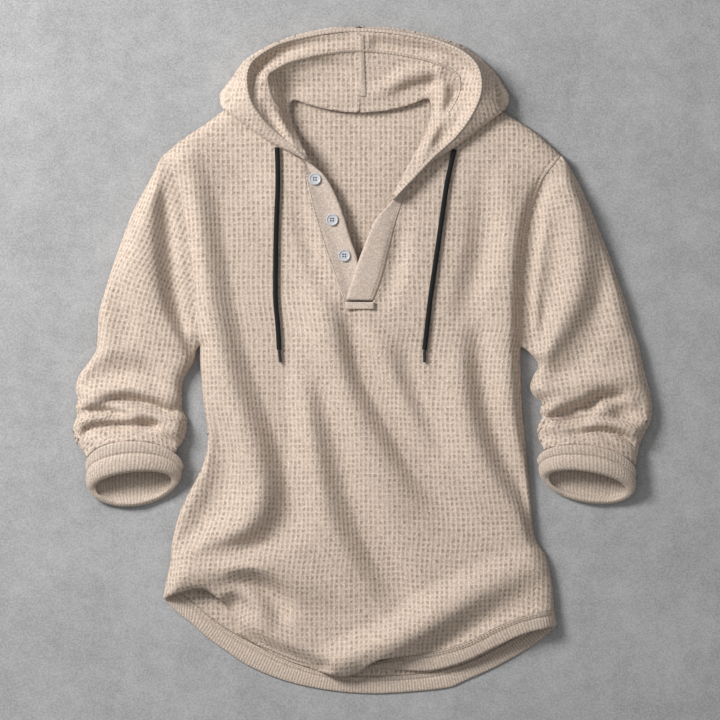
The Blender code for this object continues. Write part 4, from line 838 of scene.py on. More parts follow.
def level_at(height):
    """The height function of a level piece."""
    return lambda points: np.full(len(points), float(height))


def moved_out(run, sign):
    """The armhole run moved one seam gap away from the body."""
    return tuple((x + sign * SEAM_GAP, y) for x, y in run)


def band_height(points):
    """The front band: level with the front panel's edge, and down on the back where it is turned under."""
    shown = eased((points[:, 0] - BAND_HIDDEN_TO) / BAND_LIFT_OVER)
    return BAND_HIDDEN + (body_top(points) - BAND_HIDDEN) * shown


def surface_frame(place):
    """Height and upward normal of the button stand at a plan point."""
    around = np.array([place, (place[0] + FRAME_STEP, place[1]), (place[0], place[1] + FRAME_STEP)])
    here, east, north = body_top(around) - STAND_SINK
    return here, Vector((here - east, here - north, FRAME_STEP)).normalized()


def cord_line(route, step, radius):
    """The cord's middle, lying on the front panel."""
    plan = spaced(route, steps_in(route, step))
    around = [plan + np.array(shift) for shift in CORD_ROOM]
    heights = np.max([body_top(points) for points in around], axis=0)
    return np.column_stack((plan, heights + radius + CORD_LIFT))


def ring_point(ring, across, lift):
    """Plan point of a cuff's edge: across runs -1 to 1 between its ends, lift -1 (below) to 1 (above)."""
    left, right, above, below = ring
    middle = (np.array(left) + np.array(right)) / 2
    half = (np.array(right) - np.array(left)) / 2
    reach = above * lift if lift > 0 else below * -lift
    return middle + across * half + reach * np.array((-half[1], half[0])) / np.hypot(*half)


def cuff_height(lift, rise):
    """Height of the cuff's outer skin: flat underneath, rise at the top."""
    return np.maximum(0, (rise + CUFF_SINK) / 2 * (1 + lift) - CUFF_SINK)


def cuff_end(name):
    """The end of the sleeve, just behind the cuff's back edge, from left to right."""
    start, stop = CUFFS[name]["sleeve"]
    turns = math.tau / CUFF_TURNS * np.arange(start * CUFF_TURNS // 360, stop * CUFF_TURNS // 360 - 1, -1)
    points = np.array([ring_point(CUFFS[name]["back"], math.cos(a), math.sin(a)) for a in turns])
    return points + (0, SEAM_GAP)


# ---------------------------------------------------------------- sizes and colours a user would change

def length(name, text, default):
    return bpy.props.FloatProperty(name=name, description=text, default=default, min=0, unit="LENGTH", precision=5)


def tint(name, text, default):
    return bpy.props.FloatVectorProperty(
        name=name, description=text, default=default, size=3, min=0, max=1, subtype="COLOR"
    )


def plain(name, text, default):
    return bpy.props.FloatProperty(name=name, description=text, default=default, min=0)


class HoodieKnit(bpy.types.PropertyGroup):
    """Sizes and colours of the waffle and the ribs."""

    pitch_across: length("Waffle width", "Width of one waffle cell", 0.0069)
    pitch_along: length("Waffle height", "Height of one waffle cell", 0.0074)
    pit_depth: length("Pit depth", "Depth of a waffle cell", 0.0011)
    wall: length("Cloth thickness", "Thickness of the knit between the pits and the inside", 0.0011)
    rib_pitch: length("Rib pitch", "Distance between two ribs of the hem and cuffs", 0.0042)
    rib_rise: length("Rib height", "How far a rib stands out", 0.0007)
    yarn: tint("Yarn", "Colour of the knit's ridges", (0.595, 0.485, 0.40))
    # Painted shade: the waffle's pits are coloured this darker colour for the shade that falls in them.
    pit: tint("Pit", "Colour down in the waffle cells", (0.27, 0.205, 0.155))
    rib: tint("Rib", "Colour of the rib knit", (0.56, 0.46, 0.38))


class HoodieTrim(bpy.types.PropertyGroup):
    """Sizes and colours of the placket, buttons, cords and thread."""

    twill: tint("Placket", "Colour of the placket's twill", (0.56, 0.462, 0.39))
    thread: tint("Thread", "Colour of the sewing thread", (0.33, 0.25, 0.195))
    cord: tint("Cord", "Colour of the drawcords", (0.011, 0.011, 0.012))
    tip: tint("Cord tip", "Colour of the metal tips", (0.05, 0.05, 0.055))
    button: tint("Button", "Colour of the buttons", (0.52, 0.53, 0.56))
    stitch: length("Stitch", "Length of one stitch", 0.0034)
    thread_width: length("Thread width", "Thickness of the sewing thread", 0.0008)


class HoodieStage(bpy.types.PropertyGroup):
    """The surface, the lights and the camera."""

    view_width: length("View width", "Width of the surface that the camera sees", 1.008)
    view_height: length("Camera height", "Height of the camera above the surface", 9.0)
    floor: tint("Surface", "Colour of the surface", (0.345, 0.345, 0.347))
    key: plain("Key light", "Power of the soft light at the upper left, in watts", 131.0)
    top: plain("Top light", "Power of the large light overhead, in watts", 8.0)
    room: plain("Room light", "Strength of the light from all round", 0.30)


# ---------------------------------------------------------------- materials

class Net:
    """Short calls for the nodes of one material or group."""

    def __init__(self, tree):
        self.tree = tree

    def node(self, kind, **settings):
        made = self.tree.nodes.new("ShaderNode" + kind)
        for name, value in settings.items():
            setattr(made, name, value)
        return made

    def put(self, socket, value):
        if isinstance(value, bpy.types.NodeSocket):
            self.tree.links.new(value, socket)
        else:
            socket.default_value = value

    def math(self, operation, first, second=0.0):
        made = self.node("Math", operation=operation)
        for socket, value in zip(made.inputs, (first, second)):
            self.put(socket, value)
        return made.outputs[0]

    def plus(self, first, second):
        return self.math("ADD", first, second)

    def minus(self, first, second):
        return self.math("SUBTRACT", first, second)

    def times(self, first, second):
        return self.math("MULTIPLY", first, second)

    def step(self, value, low, high, least=0.0, most=1.0):
        made = self.node("MapRange", interpolation_type="SMOOTHSTEP")
        for socket, given in zip(made.inputs, (value, low, high, least, most)):
            self.put(socket, given)
        return made.outputs[0]

    def noise(self, vector, scale, detail=2.0, rough=0.5):
        made = self.node("TexNoise")
        self.put(made.inputs["Vector"], vector)
        self.put(made.inputs["Scale"], scale)
        self.put(made.inputs["Detail"], detail)
        self.put(made.inputs["Roughness"], rough)
        return made

    def mix(self, share, first, second):
        made = self.node("Mix", data_type="RGBA")
        self.put(made.inputs["Factor"], share)
        self.put(made.inputs[6], first)
        self.put(made.inputs[7], second)
        return made.outputs[2]

    def split(self, vector):
        """The parts of a vector along each axis."""
        made = self.node("SeparateXYZ")
        self.put(made.inputs[0], vector)
        return made.outputs

    def scaled(self, vector, factor):
        made = self.node("VectorMath", operation="SCALE")
        self.put(made.inputs[0], vector)
        self.put(made.inputs["Scale"], factor)
        return made.outputs[0]

    def place(self):
        return self.node("TexCoord").outputs["Object"]

    def weave(self):
        return self.node("UVMap", uv_map="weave").outputs["UV"]

    def moved(self, vector, scale):
        made = self.node("Mapping")
        self.put(made.inputs["Vector"], vector)
        made.inputs["Scale"].default_value = scale
        return made.outputs[0]


def group(name, inputs, outputs):
    """An empty shader node group with named sockets, and its two end nodes."""
    tree = bpy.data.node_groups.new(name, "ShaderNodeTree")
    for label, kind in inputs:
        tree.interface.new_socket(label, in_out="INPUT", socket_type="NodeSocket" + kind)
    for label, kind in outputs:
        tree.interface.new_socket(label, in_out="OUTPUT", socket_type="NodeSocket" + kind)
    return tree, tree.nodes.new("NodeGroupInput"), tree.nodes.new("NodeGroupOutput")


def fuzz_group():
    """Soft colour and height variation of cotton yarn, from the big blotches to the fibres."""
    if "cotton fuzz" in bpy.data.node_groups:
        return bpy.data.node_groups["cotton fuzz"]
    tree, start, end = group(
        "cotton fuzz", (("Place", "Vector"), ("Colour", "Color")), (("Colour", "Color"), ("Height", "Float"))
    )
    net = Net(tree)
    fibres = net.noise(start.outputs["Place"], 640, 3, 0.75).outputs["Fac"]
    yarns = net.noise(start.outputs["Place"], 330, 2, 0.5).outputs["Fac"]
    blotches = net.noise(start.outputs["Place"], 9, 2, 0.5).outputs["Fac"]
    shade = net.plus(net.step(fibres, 0.28, 0.72, 0.70, 1.27), net.step(yarns, 0.3, 0.7, -0.11, 0.11))
    shade = net.plus(shade, net.step(blotches, 0.3, 0.7, -0.025, 0.025))
    net.put(end.inputs["Colour"], net.scaled(start.outputs["Colour"], shade))
    net.put(end.inputs["Height"], net.plus(fibres, net.times(yarns, 0.6)))
    return tree


def waffle_group():
    """Waffle cells counted by the weave map: ridges round a small pit in each cell, no two cells quite alike."""
    if "waffle cells" in bpy.data.node_groups:
        return bpy.data.node_groups["waffle cells"]
    tree, start, end = group(
        "waffle cells", (("Weave", "Vector"), ("Place", "Vector")),
        (("Pit", "Float"), ("Bridge", "Float"), ("Height", "Float")),
    )
    net = Net(tree)
    wobble = net.noise(start.outputs["Place"], 190, 2, 0.6)
    shift = net.node("VectorMath", operation="MULTIPLY_ADD")
    net.put(shift.inputs[0], wobble.outputs["Color"])
    shift.inputs[1].default_value = CELL_WOBBLE
    net.put(shift.inputs[2], start.outputs["Weave"])
    split = net.split(shift.outputs[0])
    across, along = (
        net.math("ABSOLUTE", net.minus(net.math("FRACT", split[axis]), CELL_MIDDLE[axis])) for axis in (0, 1)
    )
    narrow = net.step(across, 0.12, 0.42, 1, 0)
    tall = net.step(along, 0.18, 0.50, 1, 0)
    cell = net.node("TexWhiteNoise", noise_dimensions="2D")
    whole = net.node("VectorMath", operation="FLOOR")
    net.put(whole.inputs[0], start.outputs["Weave"])
    net.put(cell.inputs["Vector"], whole.outputs[0])
    own = net.step(cell.outputs["Value"], 0, 1, 0.50, 1.0)
    pit = net.times(net.times(narrow, tall), own)
    bridge = net.times(narrow, net.minus(1.0, tall))
    slant = net.plus(net.times(split[1], 6 * math.pi), net.times(split[0], 4 * math.pi))
    streaks = net.math("SINE", slant)
    height = net.minus(net.times(streaks, 0.09), net.times(bridge, 0.35))
    net.put(end.inputs["Pit"], pit)
    net.put(end.inputs["Bridge"], bridge)
    net.put(end.inputs["Height"], net.minus(height, pit))
    return tree


def placed(net, tree, **values):
    """A group set into a material, with its inputs filled in."""
    made = net.node("Group", node_tree=tree)
    for name, value in values.items():
        net.put(made.inputs[name], value)
    return made


def new_material(name, roughness, sheen=0.0, metallic=0.0):
    made = bpy.data.materials.new(name)
    made.use_nodes = True
    shader = made.node_tree.nodes["Principled BSDF"]
    shader.inputs["Roughness"].default_value = roughness
    shader.inputs["Metallic"].default_value = metallic
    shader.inputs["Sheen Weight"].default_value = sheen
    shader.inputs["Sheen Roughness"].default_value = 0.5
    shader.inputs["Specular IOR Level"].default_value = 0.5 if metallic else 0.25
    return made, Net(made.node_tree), shader


def bump(net, shader, height, strength, distance):
    made = net.node("Bump")
    made.inputs["Strength"].default_value = strength
    made.inputs["Distance"].default_value = distance
    net.put(made.inputs["Height"], height)
    net.put(shader.inputs["Normal"], made.outputs[0])


def opaque(colour, shade=1.0):
    """The colour, this many times as bright, as a shader takes it."""
    return (*(value * shade for value in colour), 1.0)


def cottoned(net, shader, place, colour):
    """Give the shader this colour with the variation of cotton. Returns the height of the fibres."""
    fuzz = placed(net, fuzz_group(), Place=place, Colour=colour)
    net.put(shader.inputs["Base Color"], fuzz.outputs["Colour"])
    return fuzz.outputs["Height"]


def waffle_material():
    knit = bpy.context.scene.hoodie_knit
    made, net, shader = new_material("oatmeal waffle knit", 0.95, 0.1)
    place = net.place()
    cells = placed(net, waffle_group(), Weave=net.weave(), Place=place)
    # Painted shade: the pits, and the bridges between them more lightly, are mixed towards the darker pit colour.
    dark = net.plus(net.times(cells.outputs["Pit"], PIT_PAINTED_SHADE), net.times(cells.outputs["Bridge"], BRIDGE_PAINTED_SHADE))
    colour = net.mix(dark, opaque(knit.yarn), opaque(knit.pit))
    fibres = cottoned(net, shader, place, colour)
    bump(net, shader, net.plus(cells.outputs["Height"], net.times(fibres, 0.5)), 0.8, 0.0008)
    return made


def rib_material():
    knit = bpy.context.scene.hoodie_knit
    made, net, shader = new_material("oatmeal rib knit", 0.93, 0.15)
    split = net.split(net.weave())
    off_middle = net.minus(net.math("FRACT", split[0]), 0.5)
    # Painted shade: once per rib a stripe is mixed towards a darker copy of the rib colour.
    painted_rib_shade = net.step(net.math("ABSOLUTE", off_middle), 0, 0.4, 1, 0)
    colour = net.mix(net.times(painted_rib_shade, 0.75), opaque(knit.rib), opaque(knit.rib, 0.62))
    fibres = cottoned(net, shader, net.place(), colour)
    loops = net.math("SINE", net.times(split[1], math.tau))
    bump(net, shader, net.plus(net.times(loops, 0.15), net.times(fibres, 0.5)), 0.5, 0.0005)
    return made


def twill_material():
    trim = bpy.context.scene.hoodie_trim
    made, net, shader = new_material("placket twill", 0.88, 0.1)
    place = net.place()
    split = net.split(place)
    diagonal = net.plus(split[0], net.times(split[1], 0.7))
    lines = net.math("SINE", net.times(diagonal, 5200))
    # Painted shade: the twill's diagonal lines are mixed towards a darker copy of the placket colour.
    colour = net.mix(net.step(lines, -1, 1, 0, 0.35), opaque(trim.twill), opaque(trim.twill, 0.82))
    fibres = cottoned(net, shader, place, colour)
    bump(net, shader, net.plus(lines, fibres), 0.25, 0.0003)
    return made


def thread_material():
    trim = bpy.context.scene.hoodie_trim
    made, net, shader = new_material("sewing thread", 0.7, 0.1)
    bump(net, shader, cottoned(net, shader, net.place(), opaque(trim.thread)), 0.3, 0.0002)
    return made


# Painted shadow: near-black streaky colour for the disc under each button, which shows through the thread holes as
# their shade.
def hole_shadow_material():
    made, net, shader = new_material("dark thread of the buttons", 0.9)
    streaks = net.noise(net.moved(net.place(), (1, 4, 1)), 900, 2, 0.5).outputs["Fac"]
    net.put(shader.inputs["Base Color"], net.mix(streaks, (0.03, 0.03, 0.032, 1), (0.08, 0.08, 0.085, 1)))
    bump(net, shader, streaks, 0.3, 0.0003)
    return made


def cord_material():
    trim = bpy.context.scene.hoodie_trim
    made, net, shader = new_material("black braided cord", 0.8, 0.04)
    shader.inputs["Specular IOR Level"].default_value = 0.2
    place = net.place()
    split = net.split(place)
    rising = net.math("SINE", net.times(net.plus(split[1], split[0]), 2600))
    falling = net.math("SINE", net.times(net.minus(split[1], split[0]), 2600))
    braid = net.math("MAXIMUM", rising, falling)
    # Painted shade and highlight: the braid's low places take a darker copy of the cord colour and its raised strands
    # a lighter one.
    colour = net.mix(net.step(braid, -0.2, 1), opaque(trim.cord, 0.4), opaque(trim.cord, 1.3))
    fibres = cottoned(net, shader, place, colour)
    bump(net, shader, net.plus(braid, net.times(fibres, 0.4)), 0.5, 0.0004)
    return made


def tip_material():
    trim = bpy.context.scene.hoodie_trim
    made, net, shader = new_material("gunmetal tip", 0.32, 0, 1)
    wear = net.noise(net.place(), 700, 3, 0.6).outputs["Fac"]
    colour = net.mix(net.step(wear, 0.45, 0.8), opaque(trim.tip), opaque(trim.tip, 2.6))
    net.put(shader.inputs["Base Color"], colour)
    net.put(shader.inputs["Roughness"], net.step(wear, 0.3, 0.7, 0.24, 0.42))
    bump(net, shader, wear, 0.1, 0.0002)
    return made


def button_material():
    trim = bpy.context.scene.hoodie_trim
    made, net, shader = new_material("pearl button", 0.28)
    cloud = net.noise(net.moved(net.place(), (1, 2.5, 1)), 140, 3, 0.55).outputs["Fac"]
    colour = net.mix(net.step(cloud, 0.35, 0.7), opaque(trim.button), opaque(trim.button, 0.86))
    net.put(shader.inputs["Base Color"], colour)
    net.put(shader.inputs["Roughness"], net.step(cloud, 0.3, 0.7, 0.22, 0.36))
    shader.inputs["Coat Weight"].default_value = 0.3
    bump(net, shader, cloud, 0.06, 0.0004)
    return made


def floor_material():
    stage = bpy.context.scene.hoodie_stage
    made, net, shader = new_material("grey plaster surface", 0.95)
    place = net.place()
    clouds = net.noise(place, 9, 4, 0.6).outputs["Fac"]
    grit = net.noise(place, 420, 3, 0.65).outputs["Fac"]
    spots = net.noise(place, 42, 4, 0.65).outputs["Fac"]
    mottle = net.plus(net.step(clouds, 0.3, 0.7, -0.07, 0.07), net.step(spots, 0.3, 0.7, -0.06, 0.06))
    shade = net.plus(mottle, net.step(grit, 0.25, 0.75, 0.80, 1.20))
    net.put(shader.inputs["Base Color"], net.scaled(stage.floor, shade))
    bump(net, shader, grit, 0.25, 0.0008)
    return made


MAKERS = {
    "waffle": waffle_material,
    "rib": rib_material,
    "twill": twill_material,
    "thread": thread_material,
    "hole_shadow": hole_shadow_material,
    "cord": cord_material,
    "tip": tip_material,
    "button": button_material,
    "floor": floor_material,
}
MADE = {}


def finish_of(name):
    """The named material, made once."""
    if name not in MADE:
        MADE[name] = MAKERS[name]()
    return MADE[name]


# ---------------------------------------------------------------- cloth meshes

def linked(name, data):
    """A new object in the scene, at the origin."""
    made = bpy.data.objects.new(name, data)
    bpy.context.scene.collection.objects.link(made)
    return made


def mesh_of(name, work):
    """The finished bmesh as a mesh."""
    mesh = bpy.data.meshes.new(name)
    work.to_mesh(mesh)
    work.free()
    return mesh


def shown(name, work, finish, slot, stands_for=None, wall=0.0, smooth_shading=True):
    """A finished mesh that rides on the garment's one body, in place of the CAD node that it stands for."""
    mesh = mesh_of(name, work)
    made = linked(name, mesh)
    mesh.materials.append(finish_of(finish))
    mesh.polygons.foreach_set("use_smooth", [smooth_shading] * len(mesh.polygons))
    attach(made, "root")
    if wall:
        shell = made.modifiers.new("cloth wall", "SOLIDIFY")
        shell.thickness = wall
        shell.offset = -1
        shell.use_even_offset = False
    if stands_for:
        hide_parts(stands_for)
    return made


def plan_of(corners):
    return np.array([corner.co[:2] for corner in corners])


def faced_up(work):
    """The normals of an open sheet made alike, with its outer side up."""
    bmesh.ops.recalc_face_normals(work, faces=work.faces)
    if sum(face.normal.z for face in work.faces) < 0:
        bmesh.ops.reverse_faces(work, faces=work.faces)
    return work


def turned(rows, sides):
    """A closed bmesh turned from a half section: rows of radius and height in millimetres."""
    work = bmesh.new()
    corners = [work.verts.new((r * MM, 0, z * MM)) for r, z in rows]
    edges = [work.edges.new(pair) for pair in zip(corners, corners[1:])]
    bmesh.ops.spin(
        work, geom=corners + edges, cent=(0, 0, 0), axis=(0, 0, 1), angle=math.tau, steps=sides, use_merge=True
    )
    bmesh.ops.remove_doubles(work, verts=work.verts, dist=MERGE)
    bmesh.ops.recalc_face_normals(work, faces=work.faces)
    return work


def cylinder(work, radius, depth, sides, lay):
    bmesh.ops.create_cone(
        work, cap_ends=True, segments=sides, radius1=radius * MM, radius2=radius * MM, depth=depth * MM, matrix=lay
    )


def even_lattice(low, high, across, along, top, passes=3):
    """Points a half cell apart along the surface: steps shrink where the cloth slopes."""
    middle = (low + high) / 2
    half = (high - low) / 2 * LATTICE_MARGIN
    columns = 2 * int(half[0] / across) + 1
    rows = 2 * int(half[1] / along) + 1
    xs = middle[0] + np.arange(-columns, columns + 1) * across / 2
    ys = middle[1] + np.arange(-rows, rows + 1) * along / 2
    grid = np.stack(np.meshgrid(xs, ys), axis=-1)
    for _ in range(passes):
        heights = top(grid.reshape(-1, 2)).reshape(grid.shape[:2])
        for axis, step in ((1, across / 2), (0, along / 2)):
            part = 1 - axis
            run = np.diff(grid[..., part], axis=axis)
            rise = np.diff(heights, axis=axis)
            slope = np.minimum(np.hypot(run, rise) / np.maximum(run, 1e-6), MOST_SLOPE)
            steps = step / slope
            total = np.cumsum(np.insert(steps, 0, 0, axis=axis), axis=axis)
            centre = grid.shape[axis] // 2
            anchor = np.take(total, [centre], axis=axis)
            grid[..., part] = middle[part] + total - anchor
    return grid


def snapped_to(ring, points):
    """The nearest place on the closed ring to each point."""
    around = closed(ring)
    return read_off(around, np.arange(len(around)), nearest(points, around)[1])


def knitted(grid, ring):
    """A grid of cloth cut to the ring, as a bmesh in millimetres with the weave counted in cells."""
    rows, columns = grid.shape[:2]
    work = bmesh.new()
    bmesh.ops.create_grid(work, x_segments=columns - 1, y_segments=rows - 1, size=1)
    weave = work.loops.layers.uv.new("weave")
    work.verts.ensure_lookup_table()
    flat = plan_of(work.verts)
    across = np.rint((flat[:, 0] + 1) / 2 * (columns - 1)).astype(int)
    along = np.rint((flat[:, 1] + 1) / 2 * (rows - 1)).astype(int)
    plan = grid[along, across]
    within = inside(plan, ring)
    outside = [face for face in work.faces if sum(within[loop.vert.index] for loop in face.loops) < 2]
    counts = work.verts.layers.int.new("cell")
    for i, corner in enumerate(work.verts):
        corner[counts] = int(along[i]) * columns + int(across[i])
        corner.co = (plan[i][0], plan[i][1], 0)
    bmesh.ops.delete(work, geom=outside, context="FACES")
    loose = [corner for corner in work.verts if not corner.link_faces]
    bmesh.ops.delete(work, geom=loose, context="VERTS")
    for face in work.faces:
        for loop in face.loops:
            count = loop.vert[counts]
            loop[weave].uv = ((count % columns) / 2, (count // columns) / 2)
    edge = [corner for corner in work.verts if corner.is_boundary]
    for corner, place in zip(edge, snapped_to(ring, plan_of(edge))):
        corner.co = (place[0], place[1], 0)
    return work, counts, columns


def pitted(corners, counts, columns, heights, depths):
    """Lift the cloth to its heights, with a pit of its own depth in the middle of each cell."""
    for corner, height, depth in zip(corners, heights, depths):
        count = corner[counts]
        pit = (count % columns) % 2 and (count // columns) % 2
        corner.co.z = height - (depth if pit else 0)


def pit_depths(plan, ring):
    """Depth of a pit at each plan point, none along the cloth's edges."""
    knit = bpy.context.scene.hoodie_knit
    gap = nearest(plan, closed(ring))[0]
    return knit.pit_depth / MM * eased((gap - PIT_CLEAR) / PIT_FADE)


def outward(ring, steps):
    """Unit vectors out of the ring, square to the steps along it."""
    return left_of(steps) * (-1 if area_of(ring) > 0 else 1)


def grown(ring, runs, reach):
    """The ring pushed outwards along some of its runs, so that this cloth overlaps its neighbour there."""
    near = gap_to_paths(ring, [run_points(run) for run in runs]) < reach
    ahead = np.roll(ring, -1, axis=0) - np.roll(ring, 1, axis=0)
    return ring + outward(ring, ahead) * (reach * near)[:, None]


def to_metres(work):
    bmesh.ops.scale(work, vec=(MM, MM, MM), verts=work.verts)


def cell_size():
    """Width and height of one waffle cell in millimetres."""
    knit = bpy.context.scene.hoodie_knit
    return knit.pitch_across / MM, knit.pitch_along / MM


def cloth_sheet(name, ring, top, node):
    """One layer of waffle knit on the surface that top() gives."""
    grid = even_lattice(ring.min(axis=0), ring.max(axis=0), *cell_size(), top)
    work, counts, columns = knitted(grid, ring)
    plan = plan_of(work.verts)
    pitted(work.verts, counts, columns, top(plan), pit_depths(plan, ring))
    to_metres(work)
    return shown(name, work, "waffle", "waffle", node, bpy.context.scene.hoodie_knit.wall)


def turned_grid(ring, top, spine):
    """A lattice whose rows follow a spine down a sleeve, as plan points."""
    path = spaced(spine, SPINE_STEPS)
    steps = unit(np.gradient(path, axis=0))
    run = lengths(path)
    reach = max(nearest(ring, path)[0]) + SPINE_MARGIN
    low = np.array((-reach, -SPINE_BEFORE))
    high = np.array((reach, run[-1] + SPINE_AFTER))

    def bent(flat):
        place = np.clip(flat[:, 1], 0, run[-1])
        base, ahead, side = (read_off(rows, run, place) for rows in (path, steps, left_of(steps)))
        return base + side * flat[:, :1] + ahead * (flat[:, 1:] - place[:, None])

    grid = even_lattice(low, high, *cell_size(), lambda flat: top(bent(flat)))
    return bent(grid.reshape(-1, 2)).reshape(grid.shape)


def cloth_pouch(name, runs, closed_runs, grid, top, under, node, clamp=None):
    """Waffle knit that lies double: joined along its closed runs and open along the others."""
    knit = bpy.context.scene.hoodie_knit
    open_runs = [run for i, run in enumerate(runs) if i not in closed_runs]
    ring = grown(ring_of(runs), open_runs, SEAM_OVERLAP)
    if clamp:
        ring[:, 0] = clamp(ring[:, 0])
    work, counts, columns = knitted(grid, ring)
    raised = bmesh.ops.extrude_face_region(work, geom=list(work.faces), use_keep_orig=True)["geom"]
    upper = {part for part in raised if isinstance(part, bmesh.types.BMVert)}
    lower = [corner for corner in work.verts if corner not in upper]
    open_paths = [run_points(run) for run in open_runs]
    closed_paths = [run_points(runs[i]) for i in closed_runs]
    sides = [face for face in work.faces if 0 < sum(corner in upper for corner in face.verts) < 4]
    middles = np.array([face.calc_center_median()[:2] for face in sides])
    at_mouth = gap_to_paths(middles, open_paths) < gap_to_paths(middles, closed_paths)
    mouths = [face for face, at_one in zip(sides, at_mouth) if at_one]
    bmesh.ops.delete(work, geom=mouths, context="FACES")
    uprights = [edge for edge in work.edges if (edge.verts[0] in upper) != (edge.verts[1] in upper)]
    upper = list(upper)
    plan = plan_of(upper)
    pitted(upper, counts, columns, top(plan), pit_depths(plan, ring))
    for corner, level in zip(lower, under(plan_of(lower))):
        corner.co.z = level + knit.wall / MM
    cut = bmesh.ops.subdivide_edges(work, edges=uprights, cuts=SIDE_CUTS)
    between = [part for part in cut["geom_inner"] if isinstance(part, bmesh.types.BMVert)]
    plan = plan_of(between)
    around = closed(ring)
    places = np.minimum(nearest(plan, around)[1].astype(int), len(ring) - 1)
    free = np.clip(gap_to_paths(plan, open_paths) / MOUTH_REACH, 0, 1)
    push = SIDE_BULGE * (top(plan) - under(plan)) * free
    moves = outward(ring, np.diff(around, axis=0))[places] * push[:, None]
    for corner, move in zip(between, moves):
        corner.co += Vector((*move, 0))
    wrap_weave(work, between, ring)
    bmesh.ops.recalc_face_normals(work, faces=work.faces)
    work.normal_update()
    if max(work.verts, key=lambda corner: corner.co.z).normal.z < 0:
        bmesh.ops.reverse_faces(work, faces=work.faces)
    to_metres(work)
    return shown(name, work, "waffle", "waffle", node, knit.wall)


def wrap_weave(work, between, ring):
    """The weave of the faces round a pouch's edge, counted along the ring and up the side."""
    width, height = cell_size()
    weave = work.loops.layers.uv["weave"]
    sides = {face for corner in between for face in corner.link_faces}
    loops = [loop for face in sides for loop in face.loops]
    around = closed(ring)
    places = nearest(plan_of([loop.vert for loop in loops]), around)[1]
    for loop, run in zip(loops, np.interp(places, np.arange(len(around)), lengths(around))):
        loop[weave].uv = (run / width, loop.vert.co.z / height)


def grid_work(points, joined=False):
    """A grid moved onto a (rows, columns, 3) array of points in millimetres; the weave counts its steps."""
    rows, columns = points.shape[:2]
    work = bmesh.new()
    bmesh.ops.create_grid(work, x_segments=columns - 1, y_segments=rows - 1, size=1)
    weave = work.loops.layers.uv.new("weave")
    for corner in work.verts:
        column = round((corner.co.x + 1) / 2 * (columns - 1))
        row = round((corner.co.y + 1) / 2 * (rows - 1))
        for loop in corner.link_loops:
            loop[weave].uv = (column, row)
        corner.co = Vector(points[row, column]) * MM
    if joined:
        bmesh.ops.remove_doubles(work, verts=work.verts, dist=MERGE)
    return work


def scaled_weave(work, across, along):
    weave = work.loops.layers.uv["weave"]
    for face in work.faces:
        for loop in face.loops:
            loop[weave].uv = (loop[weave].uv[0] * across, loop[weave].uv[1] * along)


# ---------------------------------------------------------------- pieces

def make_front():
    ring = grown(ring_of(FRONT_RUNS), (ARMHOLE_LEFT, ARMHOLE_RIGHT, FRONT_HEM), FRONT_OVERLAP)
    return cloth_sheet("front_cloth", ring, body_top, "front_panel")


def make_back():
    return cloth_sheet("back_cloth", ring_of(BACK_RUNS), level_at(WALL), "back_panel")


def make_sleeve(name, sign, armhole, outer, inner, cuff, folds, spine):
    """One sleeve as a flat-lying tube, open at the armhole and at the cuff."""
    armhole = moved_out(armhole, sign)
    end = cuff_end(cuff)
    if sign > 0:
        end = end[::-1]
    outer = (armhole[0],) + outer[1:-1] + (tuple(end[0]),)
    inner = (tuple(end[-1]),) + inner[1:-1] + (armhole[-1],)
    runs = (outer, end, inner, armhole[::-1])

    def top(points):
        tuck = 1 - eased(nearest(points, np.array(armhole))[0] / TUCK_FADE)
        return sleeve_top(points, outer, inner, folds, armhole, cuff) - SEAM_TUCK * tuck

    grid = turned_grid(ring_of(runs), top, spine)
    return cloth_pouch(name + "_cloth", runs, (0, 2), grid, top, level_at(0), name)


def make_hood_half(name, runs, closed_runs, clamp):
    ring = ring_of(runs)
    grid = even_lattice(ring.min(axis=0), ring.max(axis=0), *cell_size(), hood_top)
    return cloth_pouch(name + "_cloth", runs, closed_runs, grid, hood_top, hood_under, name, clamp)


def make_hood():
    """Two halves that lie double, open at the neck and along the middle seam."""
    middle = (HOOD_LEFT_NECK[-1], HOOD_LEFT_RIM_SIDE[0])
    left = (HOOD_LEFT_RIM_SIDE, HOOD_LEFT_FALL, HOOD_LEFT_NECK, middle)
    right = (HOOD_RIGHT_NECK, HOOD_RIGHT_TIP, HOOD_RIGHT_FALL, HOOD_RIGHT_RIM_SIDE, middle[::-1])
    half_gap = SEAM_GAP / 2
    return (
        make_hood_half("hood_left", left, (0, 1), lambda x: np.minimum(x, -half_gap)),
        make_hood_half("hood_right", right, (1, 2, 3), lambda x: np.maximum(x, half_gap)),
    )


def make_cuff(name):
    """A ribbed cuff rolled back on itself: a flattened ring with an open mouth."""
    knit = bpy.context.scene.hoodie_knit
    sizes = CUFFS[name]
    section = smooth(CUFF_SECTION + CUFF_SECTION[:1], CURVE)
    section[:, 2] = np.clip(section[:, 2], 0, 1)
    round_trip = CUFF_ROUND * math.dist(*sizes["back"][:2])
    turns = len(RIB_WAVE) * round(round_trip * MM / knit.rib_pitch)
    points = np.zeros((len(section), turns + 1, 3))
    for turn in range(turns + 1):
        angle = math.tau * (turn % turns) / turns
        across, lift = math.cos(angle), math.sin(angle)
        back = ring_point(sizes["back"], across, lift)
        mouth = ring_point(sizes["mouth"], across, lift)
        height = float(cuff_height(lift, sizes["rise"]))
        rib = knit.rib_rise / MM * RIB_WAVE[turn % len(RIB_WAVE)]
        inward = section[:, 1] - rib * section[:, 2]
        plan = back + section[:, :1] * (mouth - back)
        points[:, turn, 0] = plan[:, 0] - across * inward
        points[:, turn, 1] = plan[:, 1]
        points[:, turn, 2] = np.maximum(0, height - lift * inward)
    points[-1] = points[0]
    work = grid_work(points, joined=True)
    scaled_weave(work, 1 / len(RIB_WAVE), 0.5)
    bmesh.ops.recalc_face_normals(work, faces=work.faces)
    return shown(name + "_knit", work, "rib", "rib", name)


